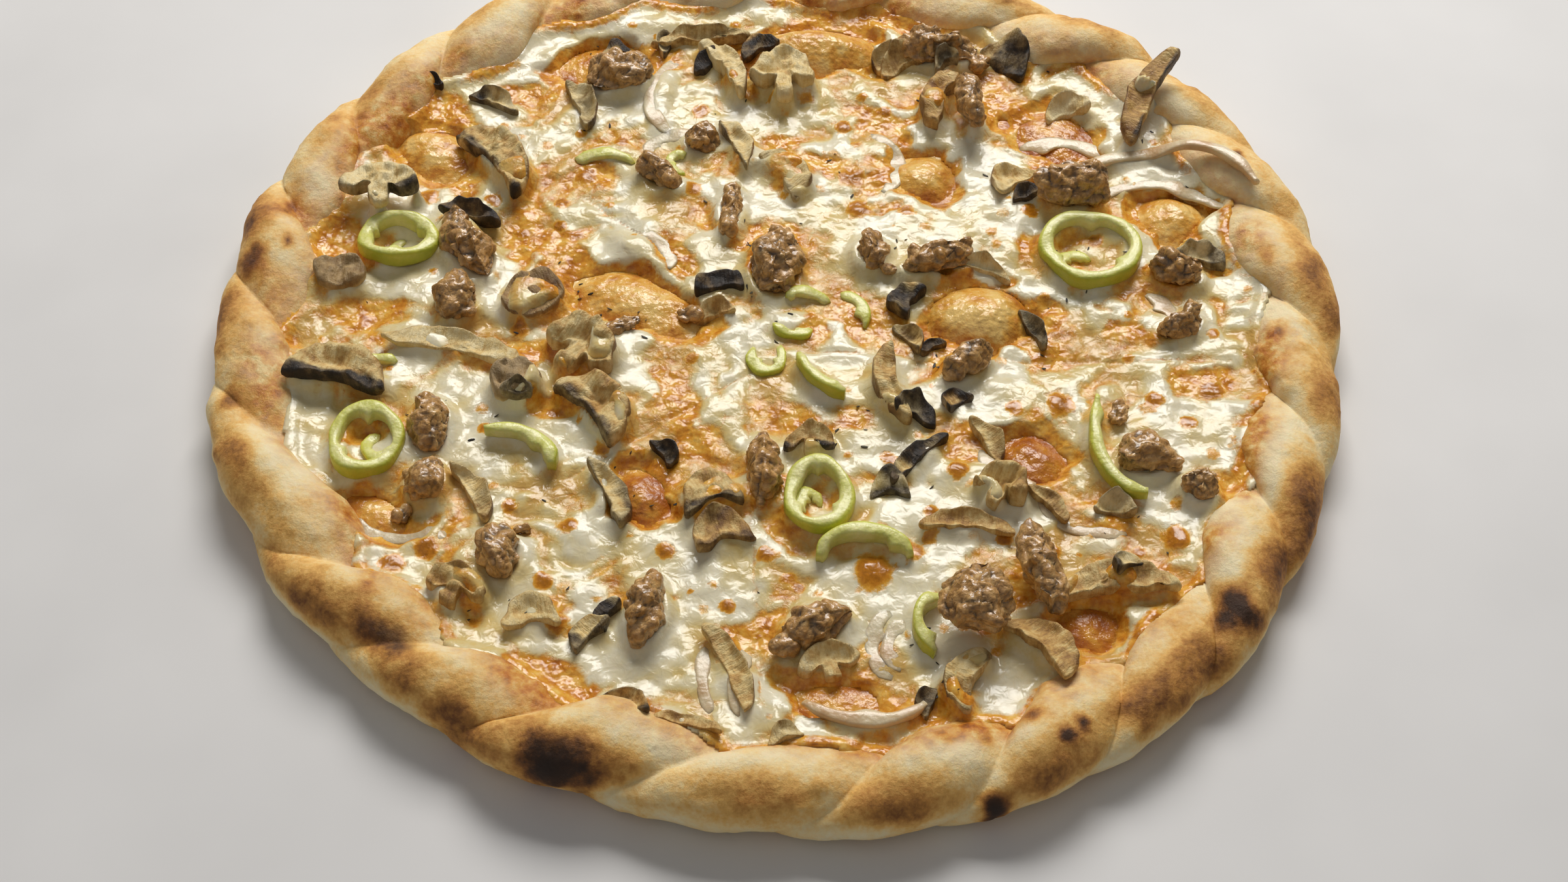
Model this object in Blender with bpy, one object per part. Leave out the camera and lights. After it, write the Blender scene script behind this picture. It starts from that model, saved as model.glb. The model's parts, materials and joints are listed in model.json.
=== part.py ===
"""A hand-stretched pizza, about 300 mm across, with a rim that is rolled and folded over all the way round.

Metres, +Z up. The pizza stands on z = 0 with its middle at the origin. +Y points to its far side.
Every piece that lies on another keeps the clearance GAP to it.
"""
import math

import bmesh
import bpy
import numpy as np
from mathutils import Vector, noise
from mathutils.bvhtree import BVHTree
from mathutils.geometry import delaunay_2d_cdt

MM = 0.001
GAP = 0.00035
# A ray that starts from here meets everything from above
HIGH_ABOVE = 0.1

# Dough: a flat base and a rolled rim, folded over itself like a rope
PIZZA_RADIUS = 0.149
EDGE_WANDER = ((2, 0.0018, -2.63), (3, 0.0015, -0.42), (4, 0.0014, -0.44))
BASE_TOP = 0.0046
ROLL_HALF_WIDTH = 0.0108
ROLL_HALF_HEIGHT = 0.0078
ROLL_MIDDLE = 0.0074
ROLL_FIRST_ANGLE = -70.0
ROLL_LAST_ANGLE = 192.0
ROLL_STEPS = 11
FOOT_STEP_BACK = 0.0016
FOLD_NOSES = (13, 27, 43, 56, 70, 86, 101, 116, 131, 146, 161, 175,
              191, 213, 227, 242, 257, 275, 288, 301, 314, 329, 342, 357)
FOLD_COLUMNS = 6
FOLD_CREST = 0.34
FOLD_RISE_CURVE = 0.8
FOLD_FALL_CURVE = 0.9
FOLD_SWEEP = 1.15
FOLD_DEPTH = 0.0044
FOLD_MEAN = 0.62
# How much the folds differ in size, and how this changes from one to the next
FOLD_DIFFERENCE = 0.28
FOLD_DIFFERENCE_STEP = 2.4
FOLD_DIFFERENCE_START = 0.7
# The folds are shallow on the outer side and reach their full depth where this times the share is 1
OUTER_FOLD_SHARE = 0.22
FOLD_DEEPENING = 1.5
# Towards the inner foot the folds stand out as noses
NOSE_REACH = 0.0022
NOSE_START = 0.7
NOSE_STEEPNESS = 3.3
# Looks for the rim's inner side: to each side of a point, and between two levels
LOOKS_BESIDE = 6
LOOKS_UP = 7

# Sauce: a thin layer that shows where the cheese has run off, often over a bubble in the dough
SAUCE_TOP = 0.0062
SAUCE_EDGE_POINTS = 60
# Middle x, y, half sizes, turn in degrees and height of each bare place, all but the turn in mm
BARE_PLACES = (
    (-38, 9, 18, 10, -28, 3.2),
    (53, 4, 14, 12, 0, 7.0),
    (-97, 66, 13, 9, -38, 3.5),
    (8, 108, 23, 11, 3, 7.0),
    (-53, 103, 15, 9, 12, 1.6),
    (79, 74, 14, 11, -30, 1.8),
    (108, 41, 9, 10, 0, 4.0),
    (15, -116, 12, 6, -5, 1.4),
    (64, -45, 8, 9, 0, 2.6),
    (-99, -62, 12, 6, -32, 2.2),
    (73, -94, 8, 7, -30, 1.6),
    (-34, -56, 8, 9, 0, 3.0),
    (40, 57, 9, 9, 0, 4.0),
)
BARE_SIDES = 12
BARE_WAVE_BY_THREE = 0.09
BARE_WAVE_BY_TWO = 0.07
# A bubble's foot lies a little inside its bare place; rings on it are shrunk by a share of its width
BUBBLE_FOOT_STEP = 0.0009
BUBBLE_SPREAD = 0.92
BUBBLE_CURVE = 0.8
BUBBLE_RINGS = ((0.30, 12), (0.62, 7))
BUBBLE_HEADROOM = 0.013
ON_FOOT = 0.0002

# Cheese: melted and uneven, open over the bare places
CHEESE_BOTTOM = SAUCE_TOP + GAP
CHEESE_TOP = 0.0088
CHEESE_SPACING = 0.0086
CHEESE_SCATTER = 0.26
CHEESE_BUMP = 0.0011
CHEESE_COARSE_HILLS = 62.0
CHEESE_FINE_HILLS = 128.0
CHEESE_EDGE_POINTS = 108
CHEESE_EDGE_LEVEL = 0.0112
CHEESE_EDGE_CLEARANCE = 0.0042
HOLE_EDGE_CLEARANCE = 0.0036
CHEESE_RIM_CLIMB = 0.0008
RIM_CLIMB_START = 0.112
RIM_CLIMB_RUN = 0.014
SEAT_DEPTH = 0.0009
# A seat is a little wider than its topping, and flat to this share of the way out; so is a swell
SEAT_SPREAD = 1.1
SEAT_FLAT = 0.6
SWELL_FLAT = 0.35
# Swells where the cheese has run over a mushroom slice or an onion bow: x, y, half sizes, turn, height
COVERED_PIECES = (
    (-83, -9, 20, 4.5, -12, 2.4),
    (-9, -109, 16, 4.0, -66, 2.0),
    (-58, -93, 8, 5.5, 10, 1.8),
    (-14, -70, 8, 5.5, -20, 2.0),
    (-117, 14, 8, 6.5, 0, 2.6),
    (-41, -59, 11, 4.0, -65, 1.8),
    (-34, 88, 14, 3.5, 84, 1.6),
    (46, -67, 12, 3.5, 0, 1.6),
    (35, -46, 10, 3.5, 50, 1.6),
    (-38, 27, 12, 4.0, -45, 1.4),
)

# Sausage crumbled by hand: x, y, length, width, height in mm and turn in degrees
SAUSAGES = (
    (-46, 94, 20, 15, 9.5, 10),
    (-33, 54, 18, 9, 7.5, -42),
    (-22, 68, 11, 8, 7, 0),
    (-13, 40, 19, 7.5, 6.5, 85),
    (-1, 19, 24, 15, 10, 96),
    (25, 24, 14, 9.5, 8.5, 95),
    (43, 21, 24, 10, 8.5, 17),
    (81, 46, 23, 14, 10, -4),
    (107, 17, 15, 10, 8.5, -22),
    (105, -2, 16, 9, 7.5, 38),
    (48, -15, 17, 8, 7.5, 36),
    (91, -46, 16, 12.5, 9, 0),
    (104, -56, 11, 9, 8, -20),
    (63, -83, 25, 11, 9.5, 103),
    (47, -94, 21, 17, 10.5, 100),
    (9, -97, 16, 12, 8, 20),
    (-31, -93, 20, 9.5, 9, 82),
    (-67, -76, 16, 12, 8.5, 112),
    (-88, -36, 18, 11, 9, 97),
    (-87, -54, 14, 10, 8, 80),
    (-84, 26, 25, 12, 9.5, -62),
    (-85, 6, 15, 12, 8, 84),
    (-4, -50, 23, 9, 8.5, 96),
    (54, 80, 21, 9, 8, 96),
    (46, 106, 24, 12, 9, -8),
)

SAUSAGE_SIDES = 9
LONG_SAUSAGE_SIDES = 11
LONG_SAUSAGE = 18
# Rings of a lump from its underside up: share of its height, and share of its width
SAUSAGE_RINGS = ((0.0, 0.80), (0.30, 1.0), (0.66, 0.88), (0.93, 0.52))
SAUSAGE_ROUGHNESS = 1.5
SAUSAGE_STRETCH = 2.2
SAUSAGE_DIFFERENCE = 7.3
SAUSAGE_FOOT_UNEVEN = 0.15
SAUSAGE_SIDE_UNEVEN = 0.26
SAUSAGE_HEIGHT_UNEVEN = 0.30
SAUSAGE_CROWN = 1.04
SAUSAGE_CROWN_SHIFT = 0.06

# Mushroom slices: x, y, length, width, thickness in mm, turn in degrees and outline
MUSHROOMS = (
    (-109, 44, 22, 15, 4.5, 0, "cap"),
    (-112, -20, 27, 13, 4.5, -12, "half"),
    (-78, 60, 31, 12, 6, -52, "half"),
    (-16, 97, 26, 8, 5, -62, "bean"),
    (1, 92, 18, 20, 5, 0, "cap"),
    (-12, 66, 21, 7, 4, -68, "bean"),
    (3, 55, 20, 10, 4, -58, "half"),
    (-65, 8, 17, 15, 4, 30, "round"),
    (-51, -12, 20, 17, 7, -35, "cap"),
    (-67, -23, 13, 12, 7, 10, "round"),
    (-45, -30, 24, 13, 6, -50, "half"),
    (-17, -57, 15, 12, 4.5, 20, "half"),
    (-76, -87, 15, 11, 5, -20, "cap"),
    (43, -112, 18, 9, 4.5, 68, "half"),
    (63, -103, 22, 10, 3.5, -52, "half"),
    (8, -42, 13, 9, 5, 0, "cap"),
    (29, -23, 25, 8, 5.5, 100, "bean"),
    (55, -57, 14, 12, 6.5, -30, "cap"),
    (80, -84, 30, 9, 4, 4, "half"),
    (45, 84, 22, 8, 5.5, 70, "half"),
    (104, 79, 33, 9, 3.5, 62, "bean"),
)

# Rings of a slice from its underside up: share of its thickness, and share of its outline
SLICE_RINGS = ((0.0, 0.93), (0.45, 1.0), (0.88, 0.94), (1.0, 0.66))
SLICE_UNEVEN = 0.20
SLICE_HILLS = 110.0
SLICE_DIFFERENCE = 0.01
SLICE_SKIN_RISE = 0.16

# Toppings come to rest no steeper than this; the ground is felt in steps, a little beyond the piece
STEEPEST_REST = 0.45
FEELING_STEP = 0.0011
PLAN_SPARE = 1.06
REST_SPARE = 0.0001

# Green pepper cut across: x, y, half sizes in mm, first and last angle in degrees
PEPPERS = (
    (84, 25, 12, 11.5, 0, 360),
    (-103, 28, 9, 7.5, 0, 360),
    (-103, -42, 8, 9.5, 0, 360),
    (10, -59, 7, 10, 0, 360),
    (93, -38, 14, 20, 150, 262),
    (-70, -51, 14, 13, 5, 105),
    (21, -79, 11, 9, 15, 170),
    (42, -97, 9, 9, 110, 235),
    (22, -8, 18, 18, 195, 255),
)
PEPPER_WALL = 0.0034
PEPPER_HEIGHT = 0.0055

# Onion cut in thin bows: x, y, half sizes in mm, first and last angle in degrees
ONIONS = (
    (102, 40, 30, 22, 12, 158),
    (20, -108, 19, 15, 222, 318),
)
ONION_WALL = 0.0034
ONION_HEIGHT = 0.0026

# Section of a ring or bow, across and up, as shares of its wall and height
BOW_SECTION = ((-0.42, 0.0), (0.42, 0.0), (0.5, 0.62), (0.22, 1.0), (-0.3, 0.96), (-0.5, 0.5))
RING_STATIONS = 16
PEPPER_STATIONS = 10
ONION_STATIONS = 13
BOW_END = 0.55
BOW_END_RUN = 3.0
BOW_WAVE = 0.04
BOW_WAVE_START = 900.0
BOW_HEIGHT_WAVE = 0.08
BOW_HEIGHT_WAVE_START = 500.0
# The ground under a bow is felt this far along, in steps between its stations, and across its wall
BOW_FEELING_ALONG = np.linspace(-1.05, 1.05, 15)
BOW_FEELING_ACROSS = np.linspace(-0.62, 0.62, 6)

# Edges sharper than this keep their crease, in degrees
CREASE_ANGLE = 50

COLOURS = {
    "dough": ((0.62, 0.36, 0.14), 0.72),
    "sauce": ((0.58, 0.20, 0.04), 0.35),
    "cheese": ((0.86, 0.76, 0.52), 0.38),
    "sausage": ((0.15, 0.065, 0.028), 0.45),
    "mushroom": ((0.42, 0.27, 0.13), 0.6),
    "pepper": ((0.36, 0.50, 0.07), 0.3),
    "onion": ((0.80, 0.68, 0.44), 0.35),
}


def clear_scene():
    for thing in list(bpy.data.objects):
        bpy.data.objects.remove(thing, do_unlink=True)


def material(name):
    """One Principled material for each kind of food."""
    made = bpy.data.materials.get(name)
    if made is None:
        colour, roughness = COLOURS[name]
        made = bpy.data.materials.new(name)
        made.use_nodes = True
        shader = made.node_tree.nodes["Principled BSDF"]
        shader.inputs["Base Color"].default_value = (*colour, 1.0)
        shader.inputs["Roughness"].default_value = roughness
        shader.inputs["Metallic"].default_value = 0.0
    return made


def add_piece(name, kind, points, faces):
    """Make one closed piece from its points and faces, with its normals turned outwards."""
    mesh = bpy.data.meshes.new(name)
    mesh.from_pydata([tuple(point) for point in points], [], faces)
    shaper = bmesh.new()
    shaper.from_mesh(mesh)
    bmesh.ops.triangulate(shaper, faces=shaper.faces[:])
    bmesh.ops.recalc_face_normals(shaper, faces=shaper.faces[:])
    shaper.to_mesh(mesh)
    shaper.free()
    mesh.materials.append(material(kind))
    mesh.shade_smooth()
    mesh.set_sharp_from_angle(angle=math.radians(CREASE_ANGLE))
    piece = bpy.data.objects.new(name, mesh)
    bpy.context.scene.collection.objects.link(piece)
    return piece


def surface_of(piece):
    """A search tree of a piece's faces, for laying the next piece on it."""
    mesh = piece.data
    points = [vertex.co for vertex in mesh.vertices]
    return BVHTree.FromPolygons(points, [tuple(face.vertices) for face in mesh.polygons])


def ease(part):
    """Smooth step from 0 to 1."""
    part = min(max(part, 0.0), 1.0)
    return part * part * (3.0 - 2.0 * part)


def in_ellipse(x, y, place):
    """How far out a point lies in a turned ellipse: 0 in the middle, 1 on its edge."""
    middle_x, middle_y, half_x, half_y, turn = place
    angle = math.radians(turn)
    dx, dy = x - middle_x, y - middle_y
    along = dx * math.cos(angle) + dy * math.sin(angle)
    across = dy * math.cos(angle) - dx * math.sin(angle)
    return math.hypot(along / half_x, across / half_y)


def to_metres(row):
    """A table row's sizes in metres; its turn stays in degrees."""
    return [value * MM for value in row]


# Dough

def edge_radius(angle):
    """The stretched dough wanders a little from a true circle."""
    return PIZZA_RADIUS + sum(size * math.sin(waves * angle + start) for waves, size, start in EDGE_WANDER)


def fold_angle(fold):
    """Angle round the rim of a place that is counted in folds; a crest's number is whole plus FOLD_CREST."""
    count = len(FOLD_NOSES)
    whole = math.floor(fold - FOLD_CREST)
    part = fold - FOLD_CREST - whole
    here = FOLD_NOSES[whole % count] + 360.0 * (whole // count)
    after = FOLD_NOSES[(whole + 1) % count] + 360.0 * ((whole + 1) // count)
    return math.radians(here + (after - here) * part)


def fold_height(part):
    """One fold across: it rises steeply from its crease and falls gently to the next."""
    if part < FOLD_CREST:
        return math.sin(0.5 * math.pi * part / FOLD_CREST) ** FOLD_RISE_CURVE
    return math.cos(0.5 * math.pi * (part - FOLD_CREST) / (1.0 - FOLD_CREST)) ** FOLD_FALL_CURVE


def fold_size(fold):
    """Each fold is a little larger or smaller than the next."""
    return 1.0 + FOLD_DIFFERENCE * math.sin(FOLD_DIFFERENCE_STEP * math.floor(fold) + FOLD_DIFFERENCE_START)


def rim_point(fold, share):
    """A point of the rolled rim: share runs from the outer lower edge over the top to the inner foot."""
    angle = fold_angle(fold - FOLD_SWEEP * (1.0 - share))
    lean = math.radians(ROLL_FIRST_ANGLE + (ROLL_LAST_ANGLE - ROLL_FIRST_ANGLE) * share)
    height = fold_height(fold % 1.0) * fold_size(fold) - FOLD_MEAN
    depth = FOLD_DEPTH * (OUTER_FOLD_SHARE + (1.0 - OUTER_FOLD_SHARE) * ease(share * FOLD_DEEPENING))
    swell = depth * height + NOSE_REACH * ease((share - NOSE_START) * NOSE_STEEPNESS) * height
    radius = edge_radius(angle) - ROLL_HALF_WIDTH + (ROLL_HALF_WIDTH + swell) * math.cos(lean)
    level = ROLL_MIDDLE + (ROLL_HALF_HEIGHT + swell) * math.sin(lean)
    return Vector((radius * math.cos(angle), radius * math.sin(angle), max(level, 0.0)))


def make_crust():
    """The base and its rim are one piece of dough: flat under, flat inside, with folds round the rim."""
    columns = len(FOLD_NOSES) * FOLD_COLUMNS
    rows = []
    for step in range(ROLL_STEPS + 1):
        rows.append([rim_point(column / FOLD_COLUMNS, step / ROLL_STEPS) for column in range(columns)])
    for point in rows[0]:
        point.z = 0.0
    foot = []
    for point in rows[-1]:
        radius = math.hypot(point.x, point.y)
        wider = 1.0 + FOOT_STEP_BACK / radius
        foot.append(Vector((point.x * wider, point.y * wider, BASE_TOP)))
    rows.append(foot)
    points = [point for row in rows for point in row]
    shift = Vector([0.5 * (min(point[axis] for point in points) + max(point[axis] for point in points))
                    for axis in (0, 1)] + [0.0])
    points = [point - shift for point in points]
    faces = []
    for row in range(len(rows) - 1):
        for column in range(columns):
            after = (column + 1) % columns
            low, high = row * columns, (row + 1) * columns
            faces.append((low + column, low + after, high + after, high + column))
    faces.append(tuple(range(columns)))
    faces.append(tuple((len(rows) - 1) * columns + column for column in range(columns)))
    return add_piece("crust", "dough", points, faces)


def inner_edge(crust_surface, count, low, high):
    """The outline that fits inside the rim between two levels, a gap clear of every fold."""
    outline = []
    for index in range(count):
        nearest = PIZZA_RADIUS
        for look in range(-LOOKS_BESIDE, LOOKS_BESIDE + 1):
            angle = 2.0 * math.pi * (index + look / LOOKS_BESIDE) / count
            way = Vector((math.cos(angle), math.sin(angle), 0.0))
            for level in np.linspace(low, high, LOOKS_UP):
                hit = crust_surface.ray_cast(Vector((0, 0, level)), way)
                if hit[0] is not None:
                    nearest = min(nearest, hit[3])
        angle = 2.0 * math.pi * index / count
        radius = nearest - GAP
        outline.append((radius * math.cos(angle), radius * math.sin(angle)))
    return outline


# Sauce and cheese

def bare_outline(place, shrink=0.0, sides=BARE_SIDES):
    """Outline of a bare place, slightly wavy, shrunk by a length on every side."""
    middle_x, middle_y, half_x, half_y, turn, _ = place
    angle = math.radians(turn)
    outline = []
    for side in range(sides):
        way = 2.0 * math.pi * side / sides
        wave = (1.0 + BARE_WAVE_BY_THREE * math.sin(3.0 * way + middle_x)
                + BARE_WAVE_BY_TWO * math.sin(2.0 * way + middle_y))
        along = (half_x * MM * wave - shrink) * math.cos(way)
        across = (half_y * MM * wave - shrink) * math.sin(way)
        outline.append((middle_x * MM + along * math.cos(angle) - across * math.sin(angle),
                        middle_y * MM + along * math.sin(angle) + across * math.cos(angle)))
    return outline


def inside(x, y, outline):
    """Whether a point lies inside an outline."""
    found = False
    for index, (x1, y1) in enumerate(outline):
        x2, y2 = outline[index - 1]
        if (y1 > y) != (y2 > y) and x < (x2 - x1) * (y - y1) / (y2 - y1) + x1:
            found = not found
    return found


def edge_distance(x, y, outline):
    """Shortest way from a point to an outline's corners."""
    return min(math.hypot(x - corner_x, y - corner_y) for corner_x, corner_y in outline)


def fill_outline(outline, holes, rings, loose):
    """Split the space inside an outline, less its holes, into triangles that use all the points."""
    points, edges = [], []
    for loop in [outline] + holes + rings:
        first = len(points)
        points += [Vector(point) for point in loop]
        edges += [(first + index, first + (index + 1) % len(loop)) for index in range(len(loop))]
    points += [Vector(point) for point in loose]
    flat_points, _, triangles, _, _, _ = delaunay_2d_cdt(points, edges, [], 0, 1e-6)
    kept = []
    for triangle in triangles:
        x = sum(flat_points[index].x for index in triangle) / 3.0
        y = sum(flat_points[index].y for index in triangle) / 3.0
        if inside(x, y, outline) and not any(inside(x, y, hole) for hole in holes):
            kept.append(tuple(triangle))
    return flat_points, kept


def border_edges(triangles):
    """The edges that belong to one triangle only, as from-to pairs."""
    seen = {}
    for a, b, c in triangles:
        for start, end in ((a, b), (b, c), (c, a)):
            seen[(start, end)] = True
    return [edge for edge in seen if (edge[1], edge[0]) not in seen]


def layer(name, kind, flat_points, triangles, top_level, bottom_level):
    """A closed layer: an uneven top, a flat bottom with few faces, and walls along every edge."""
    used = sorted({index for triangle in triangles for index in triangle})
    place = {index: number for number, index in enumerate(used)}
    points = [Vector((flat_points[i].x, flat_points[i].y, top_level(flat_points[i].x, flat_points[i].y)))
              for i in used]
    faces = [tuple(place[index] for index in triangle) for triangle in triangles]
    border = [(place[start], place[end]) for start, end in border_edges(triangles)]
    under = {}
    for start, _ in border:
        under[start] = len(points)
        points.append(Vector((points[start].x, points[start].y, bottom_level)))
    for start, end in border:
        faces.append((end, start, under[start], under[end]))
    numbers = list(under)
    where = {index: number for number, index in enumerate(numbers)}
    rim = [Vector((points[index].x, points[index].y)) for index in numbers]
    edges = [(where[start], where[end]) for start, end in border]
    _, _, low_triangles, from_points, _, _ = delaunay_2d_cdt(rim, edges, [], 0, 1e-7)
    top_tree = BVHTree.FromPolygons([Vector((p.x, p.y, 0)) for p in flat_points], [t for t in triangles])
    for triangle in low_triangles:
        corners = [from_points[index][0] for index in triangle]
        middle = sum((rim[index] for index in corners), Vector((0, 0))) / 3.0
        if top_tree.ray_cast(Vector((middle.x, middle.y, 1.0)), Vector((0, 0, -1)))[0] is not None:
            a, b, c = (under[numbers[index]] for index in corners)
            faces.append((c, b, a))
    return add_piece(name, kind, points, faces)


def bubble_height(x, y):
    """Height of the dough bubbles under the sauce, above the flat sauce."""
    tall = 0.0
    for place in BARE_PLACES:
        middle_x, middle_y, half_x, half_y = to_metres(place[:4])
        out = in_ellipse(x, y, (middle_x, middle_y, half_x, half_y, place[4]))
        if out < BUBBLE_SPREAD:
            rise = math.cos(0.5 * math.pi * out / BUBBLE_SPREAD) ** BUBBLE_CURVE
            tall = max(tall, place[5] * MM * rise)
    return tall


def make_sauce(crust_surface):
    """Sauce in one thin layer, raised over the bubbles inside the bare places."""
    outline = inner_edge(crust_surface, SAUCE_EDGE_POINTS, BASE_TOP + GAP, SAUCE_TOP)
    room = inner_edge(crust_surface, SAUCE_EDGE_POINTS, BASE_TOP + GAP, BUBBLE_HEADROOM)
    rings, loose = [], []
    for place in BARE_PLACES:
        smallest = min(place[2], place[3]) * MM
        feet = bare_outline(place, BUBBLE_FOOT_STEP)
        if all(inside(x, y, room) for x, y in feet):
            rings.append(feet)
        for share, sides in BUBBLE_RINGS:
            loose += bare_outline(place, smallest * share, sides)
        loose.append((place[0] * MM, place[1] * MM))
    loose = [point for point in loose if inside(*point, room)]
    flat_points, triangles = fill_outline(outline, [], rings, loose)

    def top(x, y):
        for ring in rings:
            if inside(x, y, ring) and edge_distance(x, y, ring) > ON_FOOT:
                return SAUCE_TOP + bubble_height(x, y)
        return SAUCE_TOP

    return layer("sauce", "sauce", flat_points, triangles, top, BASE_TOP + GAP)


def cheese_level(x, y):
    """The cheese's uneven top: soft hills, a climb at the rim, and shallow seats under the toppings."""
    hill = (noise.noise(Vector((x, y, 0.3)) * CHEESE_COARSE_HILLS)
            + 0.5 * noise.noise(Vector((x, y, 1.7)) * CHEESE_FINE_HILLS))
    level = CHEESE_TOP + CHEESE_BUMP * hill
    level += CHEESE_RIM_CLIMB * ease((math.hypot(x, y) - RIM_CLIMB_START) / RIM_CLIMB_RUN)
    seat = 0.0
    for row in SAUSAGES + MUSHROOMS:
        half_sizes = [0.5 * SEAT_SPREAD * size for size in to_metres(row[2:4])]
        place = (*to_metres(row[:2]), *half_sizes, row[5])
        seat = max(seat, 1.0 - ease(in_ellipse(x, y, place) - SEAT_FLAT))
    swell = 0.0
    for row in COVERED_PIECES:
        place = (*to_metres(row[:4]), row[4])
        swell = max(swell, row[5] * MM * (1.0 - ease(in_ellipse(x, y, place) - SWELL_FLAT)))
    return level - SEAT_DEPTH * seat + swell


def make_cheese(crust_surface):
    """Melted cheese that reaches the rim and leaves the bare places open."""
    outline = inner_edge(crust_surface, CHEESE_EDGE_POINTS, CHEESE_BOTTOM, CHEESE_EDGE_LEVEL)
    holes = [bare_outline(place) for place in BARE_PLACES]
    loose = []
    row_step = CHEESE_SPACING * math.sqrt(0.75)
    rows = int(PIZZA_RADIUS / row_step)
    for row in range(-rows, rows + 1):
        for column in range(-rows, rows + 1):
            x = (column + 0.5 * (row % 2)) * CHEESE_SPACING
            y = row * row_step
            shift = noise.noise_vector(Vector((x, y, 4.0)) * 300.0)
            x += CHEESE_SCATTER * CHEESE_SPACING * shift.x
            y += CHEESE_SCATTER * CHEESE_SPACING * shift.y
            if not inside(x, y, outline) or edge_distance(x, y, outline) < CHEESE_EDGE_CLEARANCE:
                continue
            if any(inside(x, y, hole) or edge_distance(x, y, hole) < HOLE_EDGE_CLEARANCE for hole in holes):
                continue
            loose.append((x, y))
    flat_points, triangles = fill_outline(outline, holes, [], loose)
    return layer("cheese", "cheese", flat_points, triangles, cheese_level, CHEESE_BOTTOM)


# Toppings

def ground_level(surfaces, x, y):
    """The highest thing under a point."""
    level = 0.0
    for surface in surfaces:
        hit = surface.ray_cast(Vector((x, y, HIGH_ABOVE)), Vector((0, 0, -1)))
        if hit[0] is not None:
            level = max(level, hit[0].z)
    return level


def rest_plane(surfaces, outline):
    """The plane on which a stiff piece comes to rest: fitted to the ground and raised clear of it."""
    xs = [point[0] for point in outline]
    ys = [point[1] for point in outline]
    rows = []
    for x in np.arange(min(xs), max(xs) + FEELING_STEP, FEELING_STEP):
        for y in np.arange(min(ys), max(ys) + FEELING_STEP, FEELING_STEP):
            if inside(x, y, outline) or edge_distance(x, y, outline) < FEELING_STEP:
                rows.append((x, y, ground_level(surfaces, x, y)))
    rows += [(x, y, ground_level(surfaces, x, y)) for x, y in outline]
    ground = np.array(rows)
    sides = np.column_stack((ground[:, 0], ground[:, 1], np.ones(len(ground))))
    slope_x, slope_y, level = np.linalg.lstsq(sides, ground[:, 2], rcond=None)[0]
    steepest = math.hypot(slope_x, slope_y)
    if steepest > STEEPEST_REST:
        slope_x, slope_y = slope_x * STEEPEST_REST / steepest, slope_y * STEEPEST_REST / steepest
    level = max(ground[:, 2] - slope_x * ground[:, 0] - slope_y * ground[:, 1])
    return slope_x, slope_y, level + GAP + REST_SPARE


def place_piece(name, kind, surfaces, local_rings, faces, x, y, turn, plan_ring):
    """Turn a piece, lay it on its rest plane, and add its surface to what the next ones lie on."""
    angle = math.radians(turn)
    wide = [(x + PLAN_SPARE * (px * math.cos(angle) - py * math.sin(angle)),
             y + PLAN_SPARE * (px * math.sin(angle) + py * math.cos(angle))) for px, py, _ in plan_ring]
    slope_x, slope_y, level = rest_plane(surfaces, wide)
    points = []
    for px, py, pz in local_rings:
        world_x = x + px * math.cos(angle) - py * math.sin(angle)
        world_y = y + px * math.sin(angle) + py * math.cos(angle)
        points.append(Vector((world_x, world_y, level + slope_x * world_x + slope_y * world_y + pz)))
    piece = add_piece(name, kind, points, faces)
    surfaces.append(surface_of(piece))
    return piece


def ring_faces(sides, rings):
    """Side faces between rings of points, and a closing face at each end."""
    faces = [tuple(range(sides))]
    for ring in range(rings - 1):
        for side in range(sides):
            after = (side + 1) % sides
            low, high = ring * sides, (ring + 1) * sides
            faces.append((low + side, low + after, high + after, high + side))
    faces.append(tuple((rings - 1) * sides + side for side in range(sides)))
    return faces


def make_sausage(number, row, surfaces):
    """A lump of fried minced sausage: craggy, flat underneath, highest off its middle."""
    x, y, length, width, height = to_metres(row[:5])
    sides = LONG_SAUSAGE_SIDES if row[2] > LONG_SAUSAGE else SAUSAGE_SIDES
    points = []
    for share, spread in SAUSAGE_RINGS:
        for side in range(sides):
            way = 2.0 * math.pi * side / sides
            rough = noise.noise(Vector((SAUSAGE_ROUGHNESS * math.cos(way),
                                        SAUSAGE_ROUGHNESS * math.sin(way) + SAUSAGE_DIFFERENCE * number,
                                        SAUSAGE_STRETCH * share)))
            reach = spread * (1.0 + (SAUSAGE_SIDE_UNEVEN if share else SAUSAGE_FOOT_UNEVEN) * rough)
            rise = height * share * (1.0 + SAUSAGE_HEIGHT_UNEVEN * rough)
            points.append((0.5 * length * reach * math.cos(way), 0.5 * width * reach * math.sin(way), rise))
    faces = ring_faces(sides, len(SAUSAGE_RINGS))
    faces.pop()
    crown = len(points)
    points.append((SAUSAGE_CROWN_SHIFT * length * math.sin(number),
                   SAUSAGE_CROWN_SHIFT * width * math.cos(number), SAUSAGE_CROWN * height))
    last = (len(SAUSAGE_RINGS) - 1) * sides
    faces += [(last + side, last + (side + 1) % sides, crown) for side in range(sides)]
    plan = []
    for side in range(sides):
        column = [points[ring * sides + side] for ring in range(len(SAUSAGE_RINGS))]
        plan.append(max(column, key=lambda point: math.hypot(point[0], point[1])))
    place_piece(f"sausage_{number + 1:02d}", "sausage", surfaces, points, faces, x, y, row[5], plan)


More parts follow.
